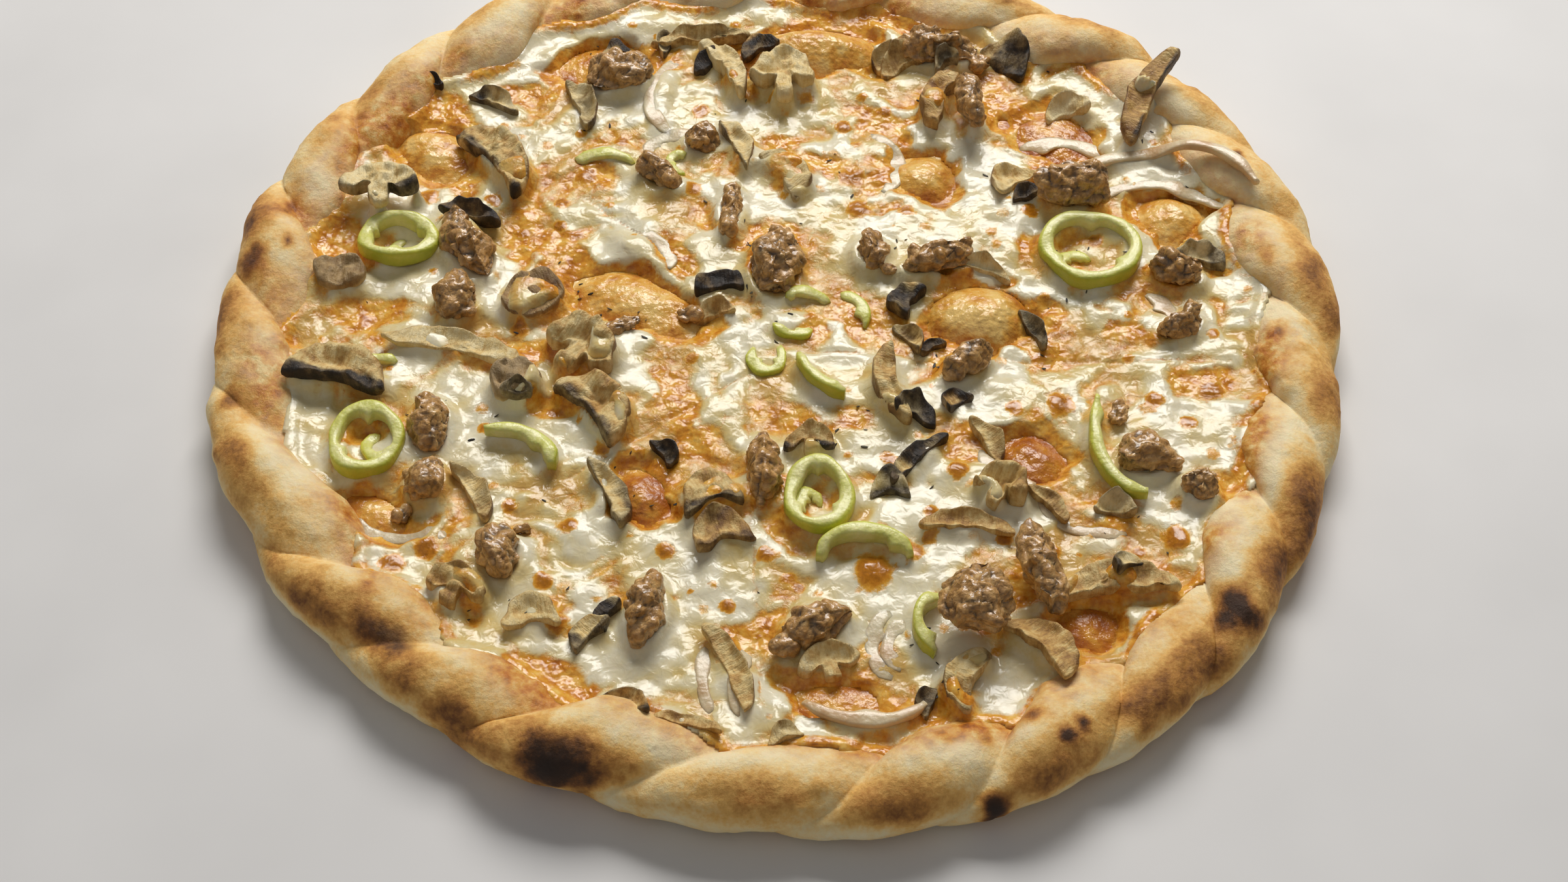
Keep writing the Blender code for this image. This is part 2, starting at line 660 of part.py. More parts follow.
def slice_outline(kind, length, width):
    """The outline of a mushroom slice, seen from above, with its cap's skin towards +Y."""
    outline = []
    if kind == "cap":
        for step in range(9):
            way = math.pi * step / 8
            outline.append((0.5 * length * math.cos(way), width * (0.62 * math.sin(way) - 0.12)))
        stem = ((-0.33, -0.22), (-0.13, -0.10), (-0.12, -0.48), (0.12, -0.50), (0.14, -0.10), (0.33, -0.22))
        outline += [(x * length, y * width) for x, y in stem]
    elif kind == "half":
        for step in range(8):
            way = math.pi * step / 7
            outline.append((0.5 * length * math.cos(way), width * (0.95 * math.sin(way) - 0.45)))
        outline += [(-0.28 * length, -0.42 * width), (0.0, -0.30 * width), (0.28 * length, -0.42 * width)]
    elif kind == "round":
        for step in range(11):
            way = 2.0 * math.pi * step / 11
            outline.append((0.5 * length * math.cos(way), 0.5 * width * math.sin(way)))
    else:
        for step in range(12):
            way = 2.0 * math.pi * step / 12
            bow = 0.22 * width * math.cos(2.0 * way)
            outline.append((0.5 * length * math.cos(way), 0.42 * width * math.sin(way) - bow))
    return outline


def make_mushroom(number, row, surfaces):
    """A baked mushroom slice: a slab with a rounded upper edge, a little higher along its skin."""
    x, y, length, width, thick = to_metres(row[:5])
    outline = slice_outline(row[6], length, width)
    points = []
    for share, spread in SLICE_RINGS:
        for px, py in outline:
            hill = noise.noise(Vector((px, py, SLICE_DIFFERENCE * number)) * SLICE_HILLS)
            swell = 1.0 + SLICE_UNEVEN * hill + SLICE_SKIN_RISE * py / width
            points.append((px * spread, py * spread, thick * share * swell))
    faces = ring_faces(len(outline), len(SLICE_RINGS))
    plan = [points[len(outline) + index] for index in range(len(outline))]
    place_piece(f"mushroom_{number + 1:02d}", "mushroom", surfaces, points, faces, x, y, row[5], plan)


def make_bow(name, kind, row, wall, height, stations, surfaces):
    """A bow or ring with a rounded section, which follows the ground all along its length."""
    x, y, half_x, half_y = to_metres(row[:4])
    first, last = row[4], row[5]
    closed = last - first >= 360
    levels, ways = [], []
    for station in range(stations):
        share = station / stations if closed else station / (stations - 1)
        ways.append(math.radians(first + (last - first) * share))
    step = ways[1] - ways[0]
    for way in ways:
        level = 0.0
        for look in BOW_FEELING_ALONG:
            for across in BOW_FEELING_ACROSS:
                at = way + step * look
                level = max(level, ground_level(surfaces, x + (half_x + across * wall) * math.cos(at),
                                                y + (half_y + across * wall) * math.sin(at)))
        levels.append(level + GAP)
    points = []
    for index, way in enumerate(ways):
        wave = 1.0 + BOW_WAVE * math.sin(3.0 * way + x * BOW_WAVE_START)
        tall = height * (1.0 + BOW_HEIGHT_WAVE * math.sin(2.0 * way + x * BOW_HEIGHT_WAVE_START))
        thin = 1.0
        if not closed:
            from_end = min(index, stations - 1 - index) / stations
            thin = BOW_END + (1.0 - BOW_END) * ease(BOW_END_RUN * from_end)
        for across, up in BOW_SECTION:
            reach = across * wall * thin
            points.append((x + (half_x * wave + reach) * math.cos(way),
                           y + (half_y * wave + reach) * math.sin(way), levels[index] + up * tall))
    sides = len(BOW_SECTION)
    faces = []
    for index in range(stations if closed else stations - 1):
        after = (index + 1) % stations
        for side in range(sides):
            beside = (side + 1) % sides
            faces.append((index * sides + side, index * sides + beside,
                          after * sides + beside, after * sides + side))
    if not closed:
        faces.append(tuple(range(sides)))
        faces.append(tuple((stations - 1) * sides + side for side in range(sides)))
    piece = add_piece(name, kind, [Vector(point) for point in points], faces)
    surfaces.append(surface_of(piece))


def main():
    clear_scene()
    crust = make_crust()
    surfaces = [surface_of(crust)]
    sauce = make_sauce(surfaces[0])
    cheese = make_cheese(surfaces[0])
    surfaces += [surface_of(sauce), surface_of(cheese)]
    for number, row in enumerate(PEPPERS):
        stations = RING_STATIONS if row[5] - row[4] >= 360 else PEPPER_STATIONS
        make_bow(f"pepper_{number + 1:02d}", "pepper", row, PEPPER_WALL, PEPPER_HEIGHT, stations, surfaces)
    for number, row in enumerate(ONIONS):
        make_bow(f"onion_{number + 1:02d}", "onion", row, ONION_WALL, ONION_HEIGHT, ONION_STATIONS, surfaces)
    for number, row in enumerate(MUSHROOMS):
        make_mushroom(number, row, surfaces)
    for number, row in enumerate(SAUSAGES):
        make_sausage(number, row, surfaces)


main()
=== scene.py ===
"""A baked pizza as it comes off the oven's stone: folded rim, melted cheese and its toppings.

Metres, +Z up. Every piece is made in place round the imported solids, from the crust upwards.
"""

import itertools
import json
import math

import bmesh
import bpy
import numpy as np
from mathutils import Matrix, Vector
from mathutils.bvhtree import BVHTree
from mathutils.geometry import delaunay_2d_cdt

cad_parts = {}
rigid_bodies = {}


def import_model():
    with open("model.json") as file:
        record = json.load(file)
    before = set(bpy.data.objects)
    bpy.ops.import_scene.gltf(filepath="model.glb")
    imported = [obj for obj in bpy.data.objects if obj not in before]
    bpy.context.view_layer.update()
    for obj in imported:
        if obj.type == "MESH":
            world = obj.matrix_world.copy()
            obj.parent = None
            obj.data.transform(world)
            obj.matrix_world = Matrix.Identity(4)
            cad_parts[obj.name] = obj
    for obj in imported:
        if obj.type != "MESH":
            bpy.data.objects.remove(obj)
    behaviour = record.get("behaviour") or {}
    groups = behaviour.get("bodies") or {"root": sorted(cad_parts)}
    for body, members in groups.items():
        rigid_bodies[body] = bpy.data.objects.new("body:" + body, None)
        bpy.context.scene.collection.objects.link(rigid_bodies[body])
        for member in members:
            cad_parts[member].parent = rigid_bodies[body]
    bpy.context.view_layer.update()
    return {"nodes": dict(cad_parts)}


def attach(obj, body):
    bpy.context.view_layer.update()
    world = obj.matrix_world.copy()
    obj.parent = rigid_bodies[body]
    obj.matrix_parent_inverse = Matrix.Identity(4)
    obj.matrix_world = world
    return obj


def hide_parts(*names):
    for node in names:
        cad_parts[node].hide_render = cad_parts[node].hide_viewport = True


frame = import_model()

for thing in [item for item in bpy.data.objects if item.name in ("Cube", "Light", "Camera")]:
    bpy.data.objects.remove(thing, do_unlink=True)


# The crust. One round of bread dough, stretched by hand, its rim rolled inwards and pressed down in folds
# all the way round like a rope. Baked on stone, it is cream where it was shaded from the heat, toasted brown
# on the crests, charred in a few spots, and orange where cheese and oil have run up its inner side. The toast
# mark also holds painted shade, which darkens the roll's lower side.
MM = 0.001
PIZZA_RADIUS = 149 * MM
# The edge's slow waves: how many go round, their size, and where they start
EDGE_WANDER = ((2, 1.8 * MM, -2.63), (3, 1.5 * MM, -0.42), (4, 1.4 * MM, -0.44))
BASE_TOP = 4.6 * MM
# The roll's section, drawn from its outer lower edge over the top to its inner foot, in degrees
ROLL_HALF_WIDTH = 10.8 * MM
ROLL_HALF_HEIGHT = 7.8 * MM
ROLL_MIDDLE = 7.4 * MM
ROLL_FIRST_ANGLE, ROLL_LAST_ANGLE = -70.0, 192.0
FOOT_STEP_BACK = 1.6 * MM
# Steps over the roll and columns in a fold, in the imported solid, which sets the middle of the pizza
CAD_ROLL_STEPS, CAD_FOLD_COLUMNS = 11, 6
# Where round the rim each fold is highest, in degrees, and the form of a fold
FOLD_NOSES = np.array((13, 27, 43, 56, 70, 86, 101, 116, 131, 146, 161, 175,
                       191, 213, 227, 242, 257, 275, 288, 301, 314, 329, 342, 357), float)
FOLD_CREST = 0.34
FOLD_SWEEP = 1.15
FOLD_DEPTH = 4.4 * MM
FOLD_MEAN = 0.62
OUTER_FOLD_SHARE = 0.22
NOSE_REACH = 2.2 * MM
FOLD_COLUMNS = 48
ROLL_STEPS = 62
# Underside rings between the middle and the rim, as shares of the way out
UNDERSIDE_RINGS = (0.93, 0.75, 0.5, 0.25, 0.06)
UNDERSIDE_HOLLOW = 0.25 * MM
# The skin's relief: rise, size and the noise's seed
DOUGH_LUMPS = ((0.80 * MM, 13 * MM, 1), (0.34 * MM, 5 * MM, 2), (0.12 * MM, 1.8 * MM, 3))
CHEESY_LUMPS = ((0.30 * MM, 2.6 * MM, 4), (0.18 * MM, 1.2 * MM, 8))
BLISTER_RISE, SMALL_BLISTER_RISE = 0.42 * MM, 0.22 * MM

# Toasted and charred spots: x, y, z, half length round the rim, half width in mm, and darkness
TOASTED_SPOTS = (
    (-89, -102, 13, 16, 6, 1.0), (-107, -95, 13, 8, 5, 0.6), (-73, -123, 10, 8, 6, 0.7),
    (-49, -136, 13, 11, 9, 1.15), (-35, -135, 15, 7, 4, 0.45), (-5, -143, 14, 11, 4, 0.42),
    (20, -147, 12, 12, 4, 0.35), (50, -147, 8, 5.5, 6, 1.5), (83, -118, 14, 12, 5, 0.62),
    (96, -111, 12, 10, 7, 0.6), (108, -94, 15, 3.5, 9, 1.0), (120, -82, 13, 14, 9, 0.62),
    (124, -75, 10, 12, 6, 0.8), (131, -60, 13, 12, 8, 0.6), (143, -22, 12, 14, 8, 0.5),
    (144, -1, 13, 11, 5, 0.5), (-135, -47, 15, 9, 4, 0.35), (-121, -79, 10, 8, 4, 0.35),
    (-147, -2, 11, 10, 5, 0.5), (-140, 16, 15, 5, 4, 0.8), (-139, 20, 15, 2.5, 2, 1.0),
    (-138, 8, 16, 2, 2, 1.0), (-136, 26, 15, 2, 1.6, 0.9), (-134, 34, 15, 2.2, 2, 0.9),
    (-143, 30, 14, 5, 4, 0.5), (139, 8, 15, 12, 6, 0.5), (131, -20, 15, 9, 5, 0.45),
    (60, -137, 13, 10, 5, 0.35), (-20, 143, 15, 16, 7, 0.6), (60, 130, 15, 14, 6, 0.5),
    (-88, 113, 15, 13, 6, 0.45), (118, 88, 14, 10, 4, 0.25), (139, 36, 14, 9, 4, 0.3),
    (-118, 84, 16, 10, 5, 0.5), (65, -130, 17, 2.4, 2.2, 1.0), (69, -126, 16, 2, 2.4, 0.9),
    (58, -124, 16, 3, 2.2, 0.9),
    (38, -130, 15, 2.6, 2.2, 1.0), (43, -125, 13, 2.2, 2, 0.9), (47, -129, 14, 2.2, 1.8, 0.8),
    (132, -43, 13, 2, 2, 1.0), (121, -38, 13, 2.4, 2, 0.8), (130, -6, 14, 4, 3, 0.85),
    (130, 19, 16, 4, 2.5, 0.7), (127, 58, 16, 2.2, 2.2, 1.0), (-133, -30, 13, 5, 3.5, 0.75),
    (-139, -30, 13, 4, 3, 0.8), (-125, -36, 13, 4, 3, 0.8), (-133, 39, 13, 3, 2.2, 0.9),
    (-119, 75, 13, 4, 2.5, 0.8), (-131, 22, 17, 3, 2, 0.9), (-122, 54, 15, 4, 3, 0.7),
    (134, -25, 14, 3, 3, 0.9), (-60, 128, 15, 4, 3, 0.8), (-93, 102, 14, 5, 3, 0.8),
    (138, -30, 14, 10, 7, 0.65), (105, -96, 14, 4, 4, 0.9),
)
# Cheese and oil baked on the rim's inner side: x, y, z, half length round the rim, half width, strength
CHEESY_PLACES = (
    (-137, -18, 14, 14, 9, 1.0), (-129, -28, 13, 10, 7, 1.0), (-120, -45, 10, 10, 7, 0.8),
    (-98, -76, 11, 16, 8, 0.9), (-55, -113, 11, 12, 8, 1.0), (40, -125, 13, 22, 7, 0.75),
    (58, -122, 13, 9, 5, 0.5), (-112, 74, 13, 30, 10, 0.9), (-136, 36, 12, 12, 8, 0.9),
    (-140, 10, 13, 12, 7, 0.7), (117, -42, 12, 16, 7, 0.8), (125, -14, 12, 12, 7, 0.8),
    (106, -74, 12, 12, 6, 0.8), (-60, 124, 14, 12, 7, 0.8), (-96, 100, 14, 12, 6, 0.6),
    (95, 98, 12, 20, 7, 0.45), (129, 22, 13, 12, 6, 0.5), (0, -128, 11, 18, 5, 0.6),
    (20, 128, 12, 26, 8, 0.6),
)


def linear(hex_colour):
    """A colour written as sRGB hex, turned to linear values with full alpha."""
    parts = [int(hex_colour[start:start + 2], 16) / 255 for start in (1, 3, 5)]
    parts = [part / 12.92 if part <= 0.04045 else ((part + 0.055) / 1.055) ** 2.4 for part in parts]
    return (*parts, 1.0)


def ease(part):
    """Smooth step from 0 to 1."""
    part = np.clip(part, 0.0, 1.0)
    return part * part * (3.0 - 2.0 * part)


def lumps(points, size, seed):
    """Smooth noise from -1 to 1, with lumps about size across."""
    sides = 32
    heights = np.random.default_rng(seed).uniform(-1.0, 1.0, (sides, sides, sides))
    place = points / size
    low = np.floor(place).astype(int)
    part = place - low
    part = part * part * (3.0 - 2.0 * part)
    total = np.zeros(len(points))
    for corner in itertools.product((0, 1), repeat=3):
        weight = np.prod(np.where(corner, part, 1.0 - part), axis=1)
        at = (low + corner) % sides
        total += weight * heights[at[:, 0], at[:, 1], at[:, 2]]
    return total


def grains(points, size, seed):
    """Distance to the nearest and the second nearest of points strewn one to a cell, in cell sizes."""
    sides = 16
    strewn = np.random.default_rng(seed).random((sides, sides, sides, 3))
    place = points / size
    low = np.floor(place).astype(int)
    nearest = np.full(len(points), 9.0)
    second = np.full(len(points), 9.0)
    for step in itertools.product((-1, 0, 1), repeat=3):
        cell = low + step
        at = cell % sides
        away = np.linalg.norm(place - cell - strewn[at[:, 0], at[:, 1], at[:, 2]], axis=1)
        second = np.minimum(second, np.maximum(nearest, away))
        nearest = np.minimum(nearest, away)
    return nearest, second


def edge_radius(angle):
    """The stretched dough wanders a little from a true circle."""
    return PIZZA_RADIUS + sum(size * np.sin(waves * angle + start) for waves, size, start in EDGE_WANDER)


def fold_angle(fold):
    """Angle round the rim of a place that is counted in folds."""
    count = len(FOLD_NOSES)
    whole = np.floor(fold - FOLD_CREST).astype(int)
    part = fold - FOLD_CREST - whole
    here = FOLD_NOSES[whole % count] + 360.0 * (whole // count)
    after = FOLD_NOSES[(whole + 1) % count] + 360.0 * ((whole + 1) // count)
    return np.radians(here + (after - here) * part)


def fold_height(fold):
    """Height of a fold, from 0 in its crease: a steep rise, then a gentle fall to the next crease."""
    part = fold % 1.0
    rise = np.sin(0.5 * np.pi * np.minimum(part / FOLD_CREST, 1.0)) ** 0.8
    fall = np.cos(0.5 * np.pi * np.maximum((part - FOLD_CREST) / (1.0 - FOLD_CREST), 0.0)) ** 0.9
    size = 1.0 + 0.28 * np.sin(2.4 * np.floor(fold) + 0.7)
    return np.where(part < FOLD_CREST, rise, fall) * size


def rim_rows(columns, steps):
    """Points of the rolled rim in rows, from its outer lower edge over the top to its inner foot."""
    fold, share = np.meshgrid(np.arange(len(FOLD_NOSES) * columns) / columns, np.arange(steps + 1) / steps)
    angle = fold_angle(fold - FOLD_SWEEP * (1.0 - share))
    lean = np.radians(ROLL_FIRST_ANGLE + (ROLL_LAST_ANGLE - ROLL_FIRST_ANGLE) * share)
    height = fold_height(fold) - FOLD_MEAN
    depth = FOLD_DEPTH * (OUTER_FOLD_SHARE + (1.0 - OUTER_FOLD_SHARE) * ease(share * 1.5))
    swell = depth * height + NOSE_REACH * ease((share - 0.7) * 3.3) * height
    radius = edge_radius(angle) - ROLL_HALF_WIDTH + (ROLL_HALF_WIDTH + swell) * np.cos(lean)
    level = np.maximum(ROLL_MIDDLE + (ROLL_HALF_HEIGHT + swell) * np.sin(lean), 0.0)
    level[0] = 0.0
    points = np.stack((radius * np.cos(angle), radius * np.sin(angle), level), axis=-1)
    foot = points[-1].copy()
    foot[:, :2] *= 1.0 + FOOT_STEP_BACK / np.linalg.norm(foot[:, :2], axis=1, keepdims=True)
    foot[:, 2] = BASE_TOP
    return np.concatenate((points, foot[None])), height, lean


def ring_faces(rows, columns):
    """Four-sided faces between rows of points that go right round."""
    low, side = np.meshgrid(np.arange(rows - 1), np.arange(columns), indexing="ij")
    after = (side + 1) % columns
    corners = (low * columns + side, low * columns + after,
               (low + 1) * columns + after, (low + 1) * columns + side)
    return np.stack(corners, axis=-1).reshape(-1, 4).tolist()


def near_spots(points, spots):
    """How strongly each point lies in the spots on the rim, 0 to about 1 and more in dark ones."""
    strength = np.zeros(len(points))
    uneven = 1.0 + 0.30 * lumps(points, 6 * MM, 11) + 0.22 * lumps(points, 2.4 * MM, 12)
    for x, y, z, along, across, dark in spots:
        middle = np.array((x, y, z)) * MM
        way = np.array((-y, x, 0.0)) / math.hypot(x, y)
        offset = points - middle
        round_rim = offset @ way
        beside = np.sqrt(np.maximum((offset ** 2).sum(axis=1) - round_rim ** 2, 0.0))
        away = np.hypot(round_rim / (along * MM), beside / (across * MM)) * uneven
        strength = np.maximum(strength, dark * (1.0 - ease(0.62 * away)))
    return strength


def build(name, points, faces, material, **marks):
    """One smooth-shaded mesh piece; each mark is a number for every point, which its material reads."""
    mesh = bpy.data.meshes.new(name)
    mesh.from_pydata(np.asarray(points, float).tolist(), [], faces)
    for mark, values in marks.items():
        layer = mesh.attributes.new(mark, "FLOAT", "POINT")
        layer.data.foreach_set("value", np.asarray(values, np.float32))
    mesh.materials.append(material)
    mesh.shade_smooth()
    piece = bpy.data.objects.new(name, mesh)
    bpy.context.scene.collection.objects.link(piece)
    return piece


def put(tree, kind, inputs=None, stops=None, **settings):
    """Add one node with its settings; each input is a value or the socket that feeds it."""
    node = tree.nodes.new(kind)
    for name, value in settings.items():
        setattr(node, name, value)
    for name, value in (inputs or {}).items():
        if isinstance(value, bpy.types.NodeSocket):
            tree.links.new(value, node.inputs[name])
        else:
            node.inputs[name].default_value = value
    if stops:
        ramp = node.color_ramp.elements
        while len(ramp) < len(stops):
            ramp.new(1.0)
        for stop, (place, colour) in zip(ramp, stops):
            stop.position = place
            stop.color = linear(colour)
    return node


def new_material(name):
    """A material with a Principled shader, its node tree, and the shader."""
    material = bpy.data.materials.new(name)
    material.use_nodes = True
    return material, material.node_tree, material.node_tree.nodes["Principled BSDF"]


def per(size_mm):
    """Scale of a pattern on object coordinates whose parts are so many millimetres across."""
    return 1.0 / (size_mm * MM)


def bread_crust():
    """Baked bread dough: matt, with a fine dry skin, cream to toasted brown, and greasy where cheese ran."""
    material, tree, shader = new_material("baked_bread_crust")
    place = put(tree, "ShaderNodeTexCoord").outputs["Object"]
    # The toast mark carries real toasting and also the painted shade of the rim's lower side
    toast, char, cheesy = (put(tree, "ShaderNodeAttribute", attribute_name=mark).outputs["Fac"]
                           for mark in ("toast", "char", "cheesy"))
    mottle = put(tree, "ShaderNodeTexNoise",
                 {"Vector": place, "Scale": per(5), "Detail": 5, "Roughness": 0.65})
    shade = put(tree, "ShaderNodeMath", {0: mottle.outputs["Fac"], 1: 0.40, 2: -0.26},
                operation="MULTIPLY_ADD")
    shade = put(tree, "ShaderNodeMath", {0: shade.outputs[0], 1: toast}, operation="ADD")
    speckle = put(tree, "ShaderNodeTexNoise",
                  {"Vector": place, "Scale": per(1.3), "Detail": 3, "Roughness": 0.6})
    shade = put(tree, "ShaderNodeMath", {0: speckle.outputs["Fac"], 1: 0.38, 2: shade.outputs[0]},
                operation="MULTIPLY_ADD")
    bread = put(tree, "ShaderNodeValToRGB", {"Fac": shade.outputs[0]}, stops=(
        (0.10, "#FAE8BC"), (0.30, "#F8D898"), (0.48, "#EDB966"), (0.66, "#C88C42"), (0.85, "#885626"),
        (1.0, "#4E3018")))
    fried = put(tree, "ShaderNodeTexNoise",
                {"Vector": place, "Scale": per(3.2), "Detail": 4, "Roughness": 0.6})
    fried = put(tree, "ShaderNodeMath", {0: toast, 1: 0.24, 2: fried.outputs["Fac"]},
                operation="MULTIPLY_ADD")
    fried_colour = put(tree, "ShaderNodeValToRGB", {"Fac": fried.outputs[0]}, stops=(
        (0.34, "#F0D08C"), (0.48, "#E0A44C"), (0.62, "#C87A2A"), (0.78, "#8C4616")))
    with_cheese = put(tree, "ShaderNodeMix", {0: cheesy, 6: bread.outputs[0], 7: fried_colour.outputs[0]},
                      data_type="RGBA")
    charred = put(tree, "ShaderNodeMix", {0: char, 6: with_cheese.outputs[2], 7: linear("#2B1D15")},
                  data_type="RGBA")
    tree.links.new(charred.outputs[2], shader.inputs["Base Color"])
    rough = put(tree, "ShaderNodeMath", {0: cheesy, 1: -0.38, 2: 0.62}, operation="MULTIPLY_ADD")
    tree.links.new(rough.outputs[0], shader.inputs["Roughness"])
    skin = put(tree, "ShaderNodeTexNoise",
               {"Vector": place, "Scale": per(1.1), "Detail": 6, "Roughness": 0.7})
    pores = put(tree, "ShaderNodeTexVoronoi", {"Vector": place, "Scale": per(1.6)})
    relief = put(tree, "ShaderNodeMath", {0: pores.outputs["Distance"], 1: 0.25, 2: skin.outputs["Fac"]},
                 operation="MULTIPLY_ADD")
    bump = put(tree, "ShaderNodeBump", {"Height": relief.outputs[0], "Strength": 0.7, "Distance": 0.5 * MM})
    tree.links.new(bump.outputs[0], shader.inputs["Normal"])
    shader.inputs["Subsurface Weight"].default_value = 0.12
    shader.inputs["Subsurface Radius"].default_value = (1.0, 0.5, 0.22)
    shader.inputs["Subsurface Scale"].default_value = 1.5 * MM
    shader.inputs["Specular IOR Level"].default_value = 0.35
    return material


def skin_ways(skin):
    """The way out of the dough at each point of the rolled rim."""
    along = np.roll(skin, -1, axis=1) - np.roll(skin, 1, axis=1)
    normals = np.cross(along, np.gradient(skin, axis=0))
    return normals / (np.linalg.norm(normals, axis=2, keepdims=True) + 1e-12)


def underside_rings(edge):
    """Points of the underside, ring by ring from its middle out: flat, with shallow hollows off the stone."""
    rings = []
    for share in UNDERSIDE_RINGS:
        ring = edge * share
        ring[:, 2] = UNDERSIDE_HOLLOW * ease(lumps(ring, 14 * MM, 31))
        rings.append(ring)
    return np.array(rings[::-1]).reshape(-1, 3)


def toasting(flat, out, up, crest, blisters, spots):
    """How toasted the rim is: most on its outer top, its crests and blisters, and the side by the fire.
    Painted shade is added too, which darkens the roll's lower side.
    """
    hot_side = 0.5 - 0.5 * np.sin(np.arctan2(flat[:, 1], flat[:, 0]) + 0.35)
    outer_top = ease((out + 0.25) / 0.6) * ease((up + 0.1) / 0.6)
    toast = 0.30 * outer_top * (0.45 + 0.55 * crest) + 0.10 * hot_side * ease((up + 0.5) / 1.1)
    # Painted shade: the roll's lower side, towards the stone, is made darker through this value
    toast += 0.20 * ease((0.15 - up) / 0.7) + 0.20 * lumps(flat, 17 * MM, 21) + 0.15 * lumps(flat, 6 * MM, 22)
    return toast + 0.10 * blisters + 0.60 * spots


def make_crust():
    """The whole crust in one closed skin, from the middle of its underside over the rim to its flat base."""
    rows, height, lean = rim_rows(FOLD_COLUMNS, ROLL_STEPS)
    coarse = rim_rows(CAD_FOLD_COLUMNS, CAD_ROLL_STEPS)[0].reshape(-1, 3)
    rows[..., :2] -= 0.5 * (coarse.min(axis=0) + coarse.max(axis=0))[:2]
    columns = rows.shape[1]
    skin = rows[:-1]
    flat, outwards = skin.reshape(-1, 3), skin_ways(skin).reshape(-1, 3)
    up = np.sin(lean).reshape(-1)
    out = np.cos(lean).reshape(-1)
    crest = ease(0.5 + 0.9 * height).reshape(-1)
    off_the_stone = ease((up + 0.94) / 0.5)
    blisters = ease(1.0 - grains(flat, 9 * MM, 5)[0] / 0.36)
    small_blisters = ease(1.0 - grains(flat, 4.2 * MM, 6)[0] / 0.34)
    run_up = 0.55 * ease(0.55 + 1.1 * lumps(flat, 9 * MM, 7)) * ease(-out / 0.8)
    cheesy = np.clip(near_spots(flat, CHEESY_PLACES) + run_up, 0.0, 1.0) * ease(0.75 - 0.9 * out)
    relief = sum(rise * lumps(flat, size, seed) for rise, size, seed in DOUGH_LUMPS)
    relief += BLISTER_RISE * blisters + SMALL_BLISTER_RISE * small_blisters
    relief += cheesy * sum(rise * lumps(flat, size, seed) for rise, size, seed in CHEESY_LUMPS)
    flat = flat + outwards * (relief * off_the_stone)[:, None]
    flat[:, 2] = np.maximum(flat[:, 2], 0.0)
    spots = near_spots(flat, TOASTED_SPOTS)
    toast = toasting(flat, out, up, crest, blisters, spots)
    char = 0.9 * ease((spots + 0.16 * lumps(flat, 2.2 * MM, 23) - 0.62) / 0.55)
    under = underside_rings(skin[0])
    points = np.concatenate((under, flat, rows[-1]))
    ring_count = len(UNDERSIDE_RINGS) + skin.shape[0] + 1
    faces = ring_faces(ring_count, columns)
    faces.append(list(range(columns))[::-1])
    faces.append([(ring_count - 1) * columns + column for column in range(columns)])
    under_toast = 0.45 + 0.35 * lumps(under, 9 * MM, 32) + 0.15 * lumps(under, 3 * MM, 33)
    under_char = 0.55 * ease((lumps(under, 7 * MM, 34) - 0.35) / 0.4)
    hidden = np.zeros(columns)
    piece = build("crust_bread", points, faces, bread_crust(),
                  toast=np.concatenate((under_toast, toast, hidden)),
                  char=np.concatenate((under_char, char, hidden)),
                  cheesy=np.concatenate((np.zeros(len(under)), cheesy, hidden)))
    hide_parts("crust")
    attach(piece, "root")
    return piece


crust = make_crust()


# The sauce. Thin tomato sauce brushed on the dough before the cheese. It shows where the cheese has run
# off, mostly over bubbles in the dough: golden with oil on their tops, red-orange in the hollows.
SAUCE_TOP = 6.2 * MM
GAP = 0.35 * MM
# Sauce and cheese are laid on one grid of small squares: a square's side, and half the grid's
CELL = 0.9 * MM
REACH = 0.1415
# Places without cheese: middle x, y, half sizes, turn, height of the bubble in mm, and how red it is
BARE_PLACES = (
    (-38, 9, 18, 10, -28, 3.2, 0.0), (53, 4, 14, 12, 0, 7.0, -0.05), (-97, 66, 13, 9, -38, 3.5, 0.10),
    (8, 108, 23, 11, 3, 7.0, 0.0), (-53, 103, 15, 9, 12, 1.6, 0.25), (79, 74, 14, 11, -30, 1.8, 0.40),
    (108, 41, 9, 10, 0, 4.0, 0.10), (15, -116, 12, 6, -5, 1.4, 0.20), (64, -45, 8, 9, 0, 2.6, 0.60),
    (-99, -62, 12, 6, -32, 2.2, 0.15), (73, -94, 8, 7, -30, 1.6, 0.40), (-34, -56, 8, 9, 0, 3.0, 0.30),
    (40, 57, 9, 9, 0, 4.0, 0.0),
)
steps = np.arange(-REACH, REACH, CELL)
grid_x, grid_y = np.meshgrid(steps, steps, indexing="ij")
flat_grid = np.stack((grid_x, grid_y, np.zeros_like(grid_x)), axis=-1).reshape(-1, 3)


def spread(size, seed):
    """Smooth noise over the whole grid."""
    return lumps(flat_grid, size, seed).reshape(grid_x.shape)


def ellipse(row):
    """How far out each grid point lies in a turned ellipse given in mm: 0 in its middle, 1 on its edge."""
    x, y, half_x, half_y, turn = row[:5]
    angle = math.radians(turn)
    dx, dy = grid_x - x * MM, grid_y - y * MM
    along = dx * math.cos(angle) + dy * math.sin(angle)
    across = dy * math.cos(angle) - dx * math.sin(angle)
    return np.hypot(along / (half_x * MM), across / (half_y * MM))


def blurred(field, width):
    """The grid's values smoothed over a width."""
    wave = np.fft.fftfreq(len(field), CELL)
    keep = np.exp(-2.0 * (np.pi * width) ** 2 * (wave[:, None] ** 2 + wave[None, :] ** 2))
    return np.fft.ifft2(np.fft.fft2(field) * keep).real


def surface_tree(pieces):
    """A search tree of the faces of several pieces."""
    points, faces = [], []
    for piece in pieces:
        first = len(points)
        points += [vertex.co for vertex in piece.data.vertices]
        faces += [[first + index for index in face.vertices] for face in piece.data.polygons]
    return BVHTree.FromPolygons(points, faces)


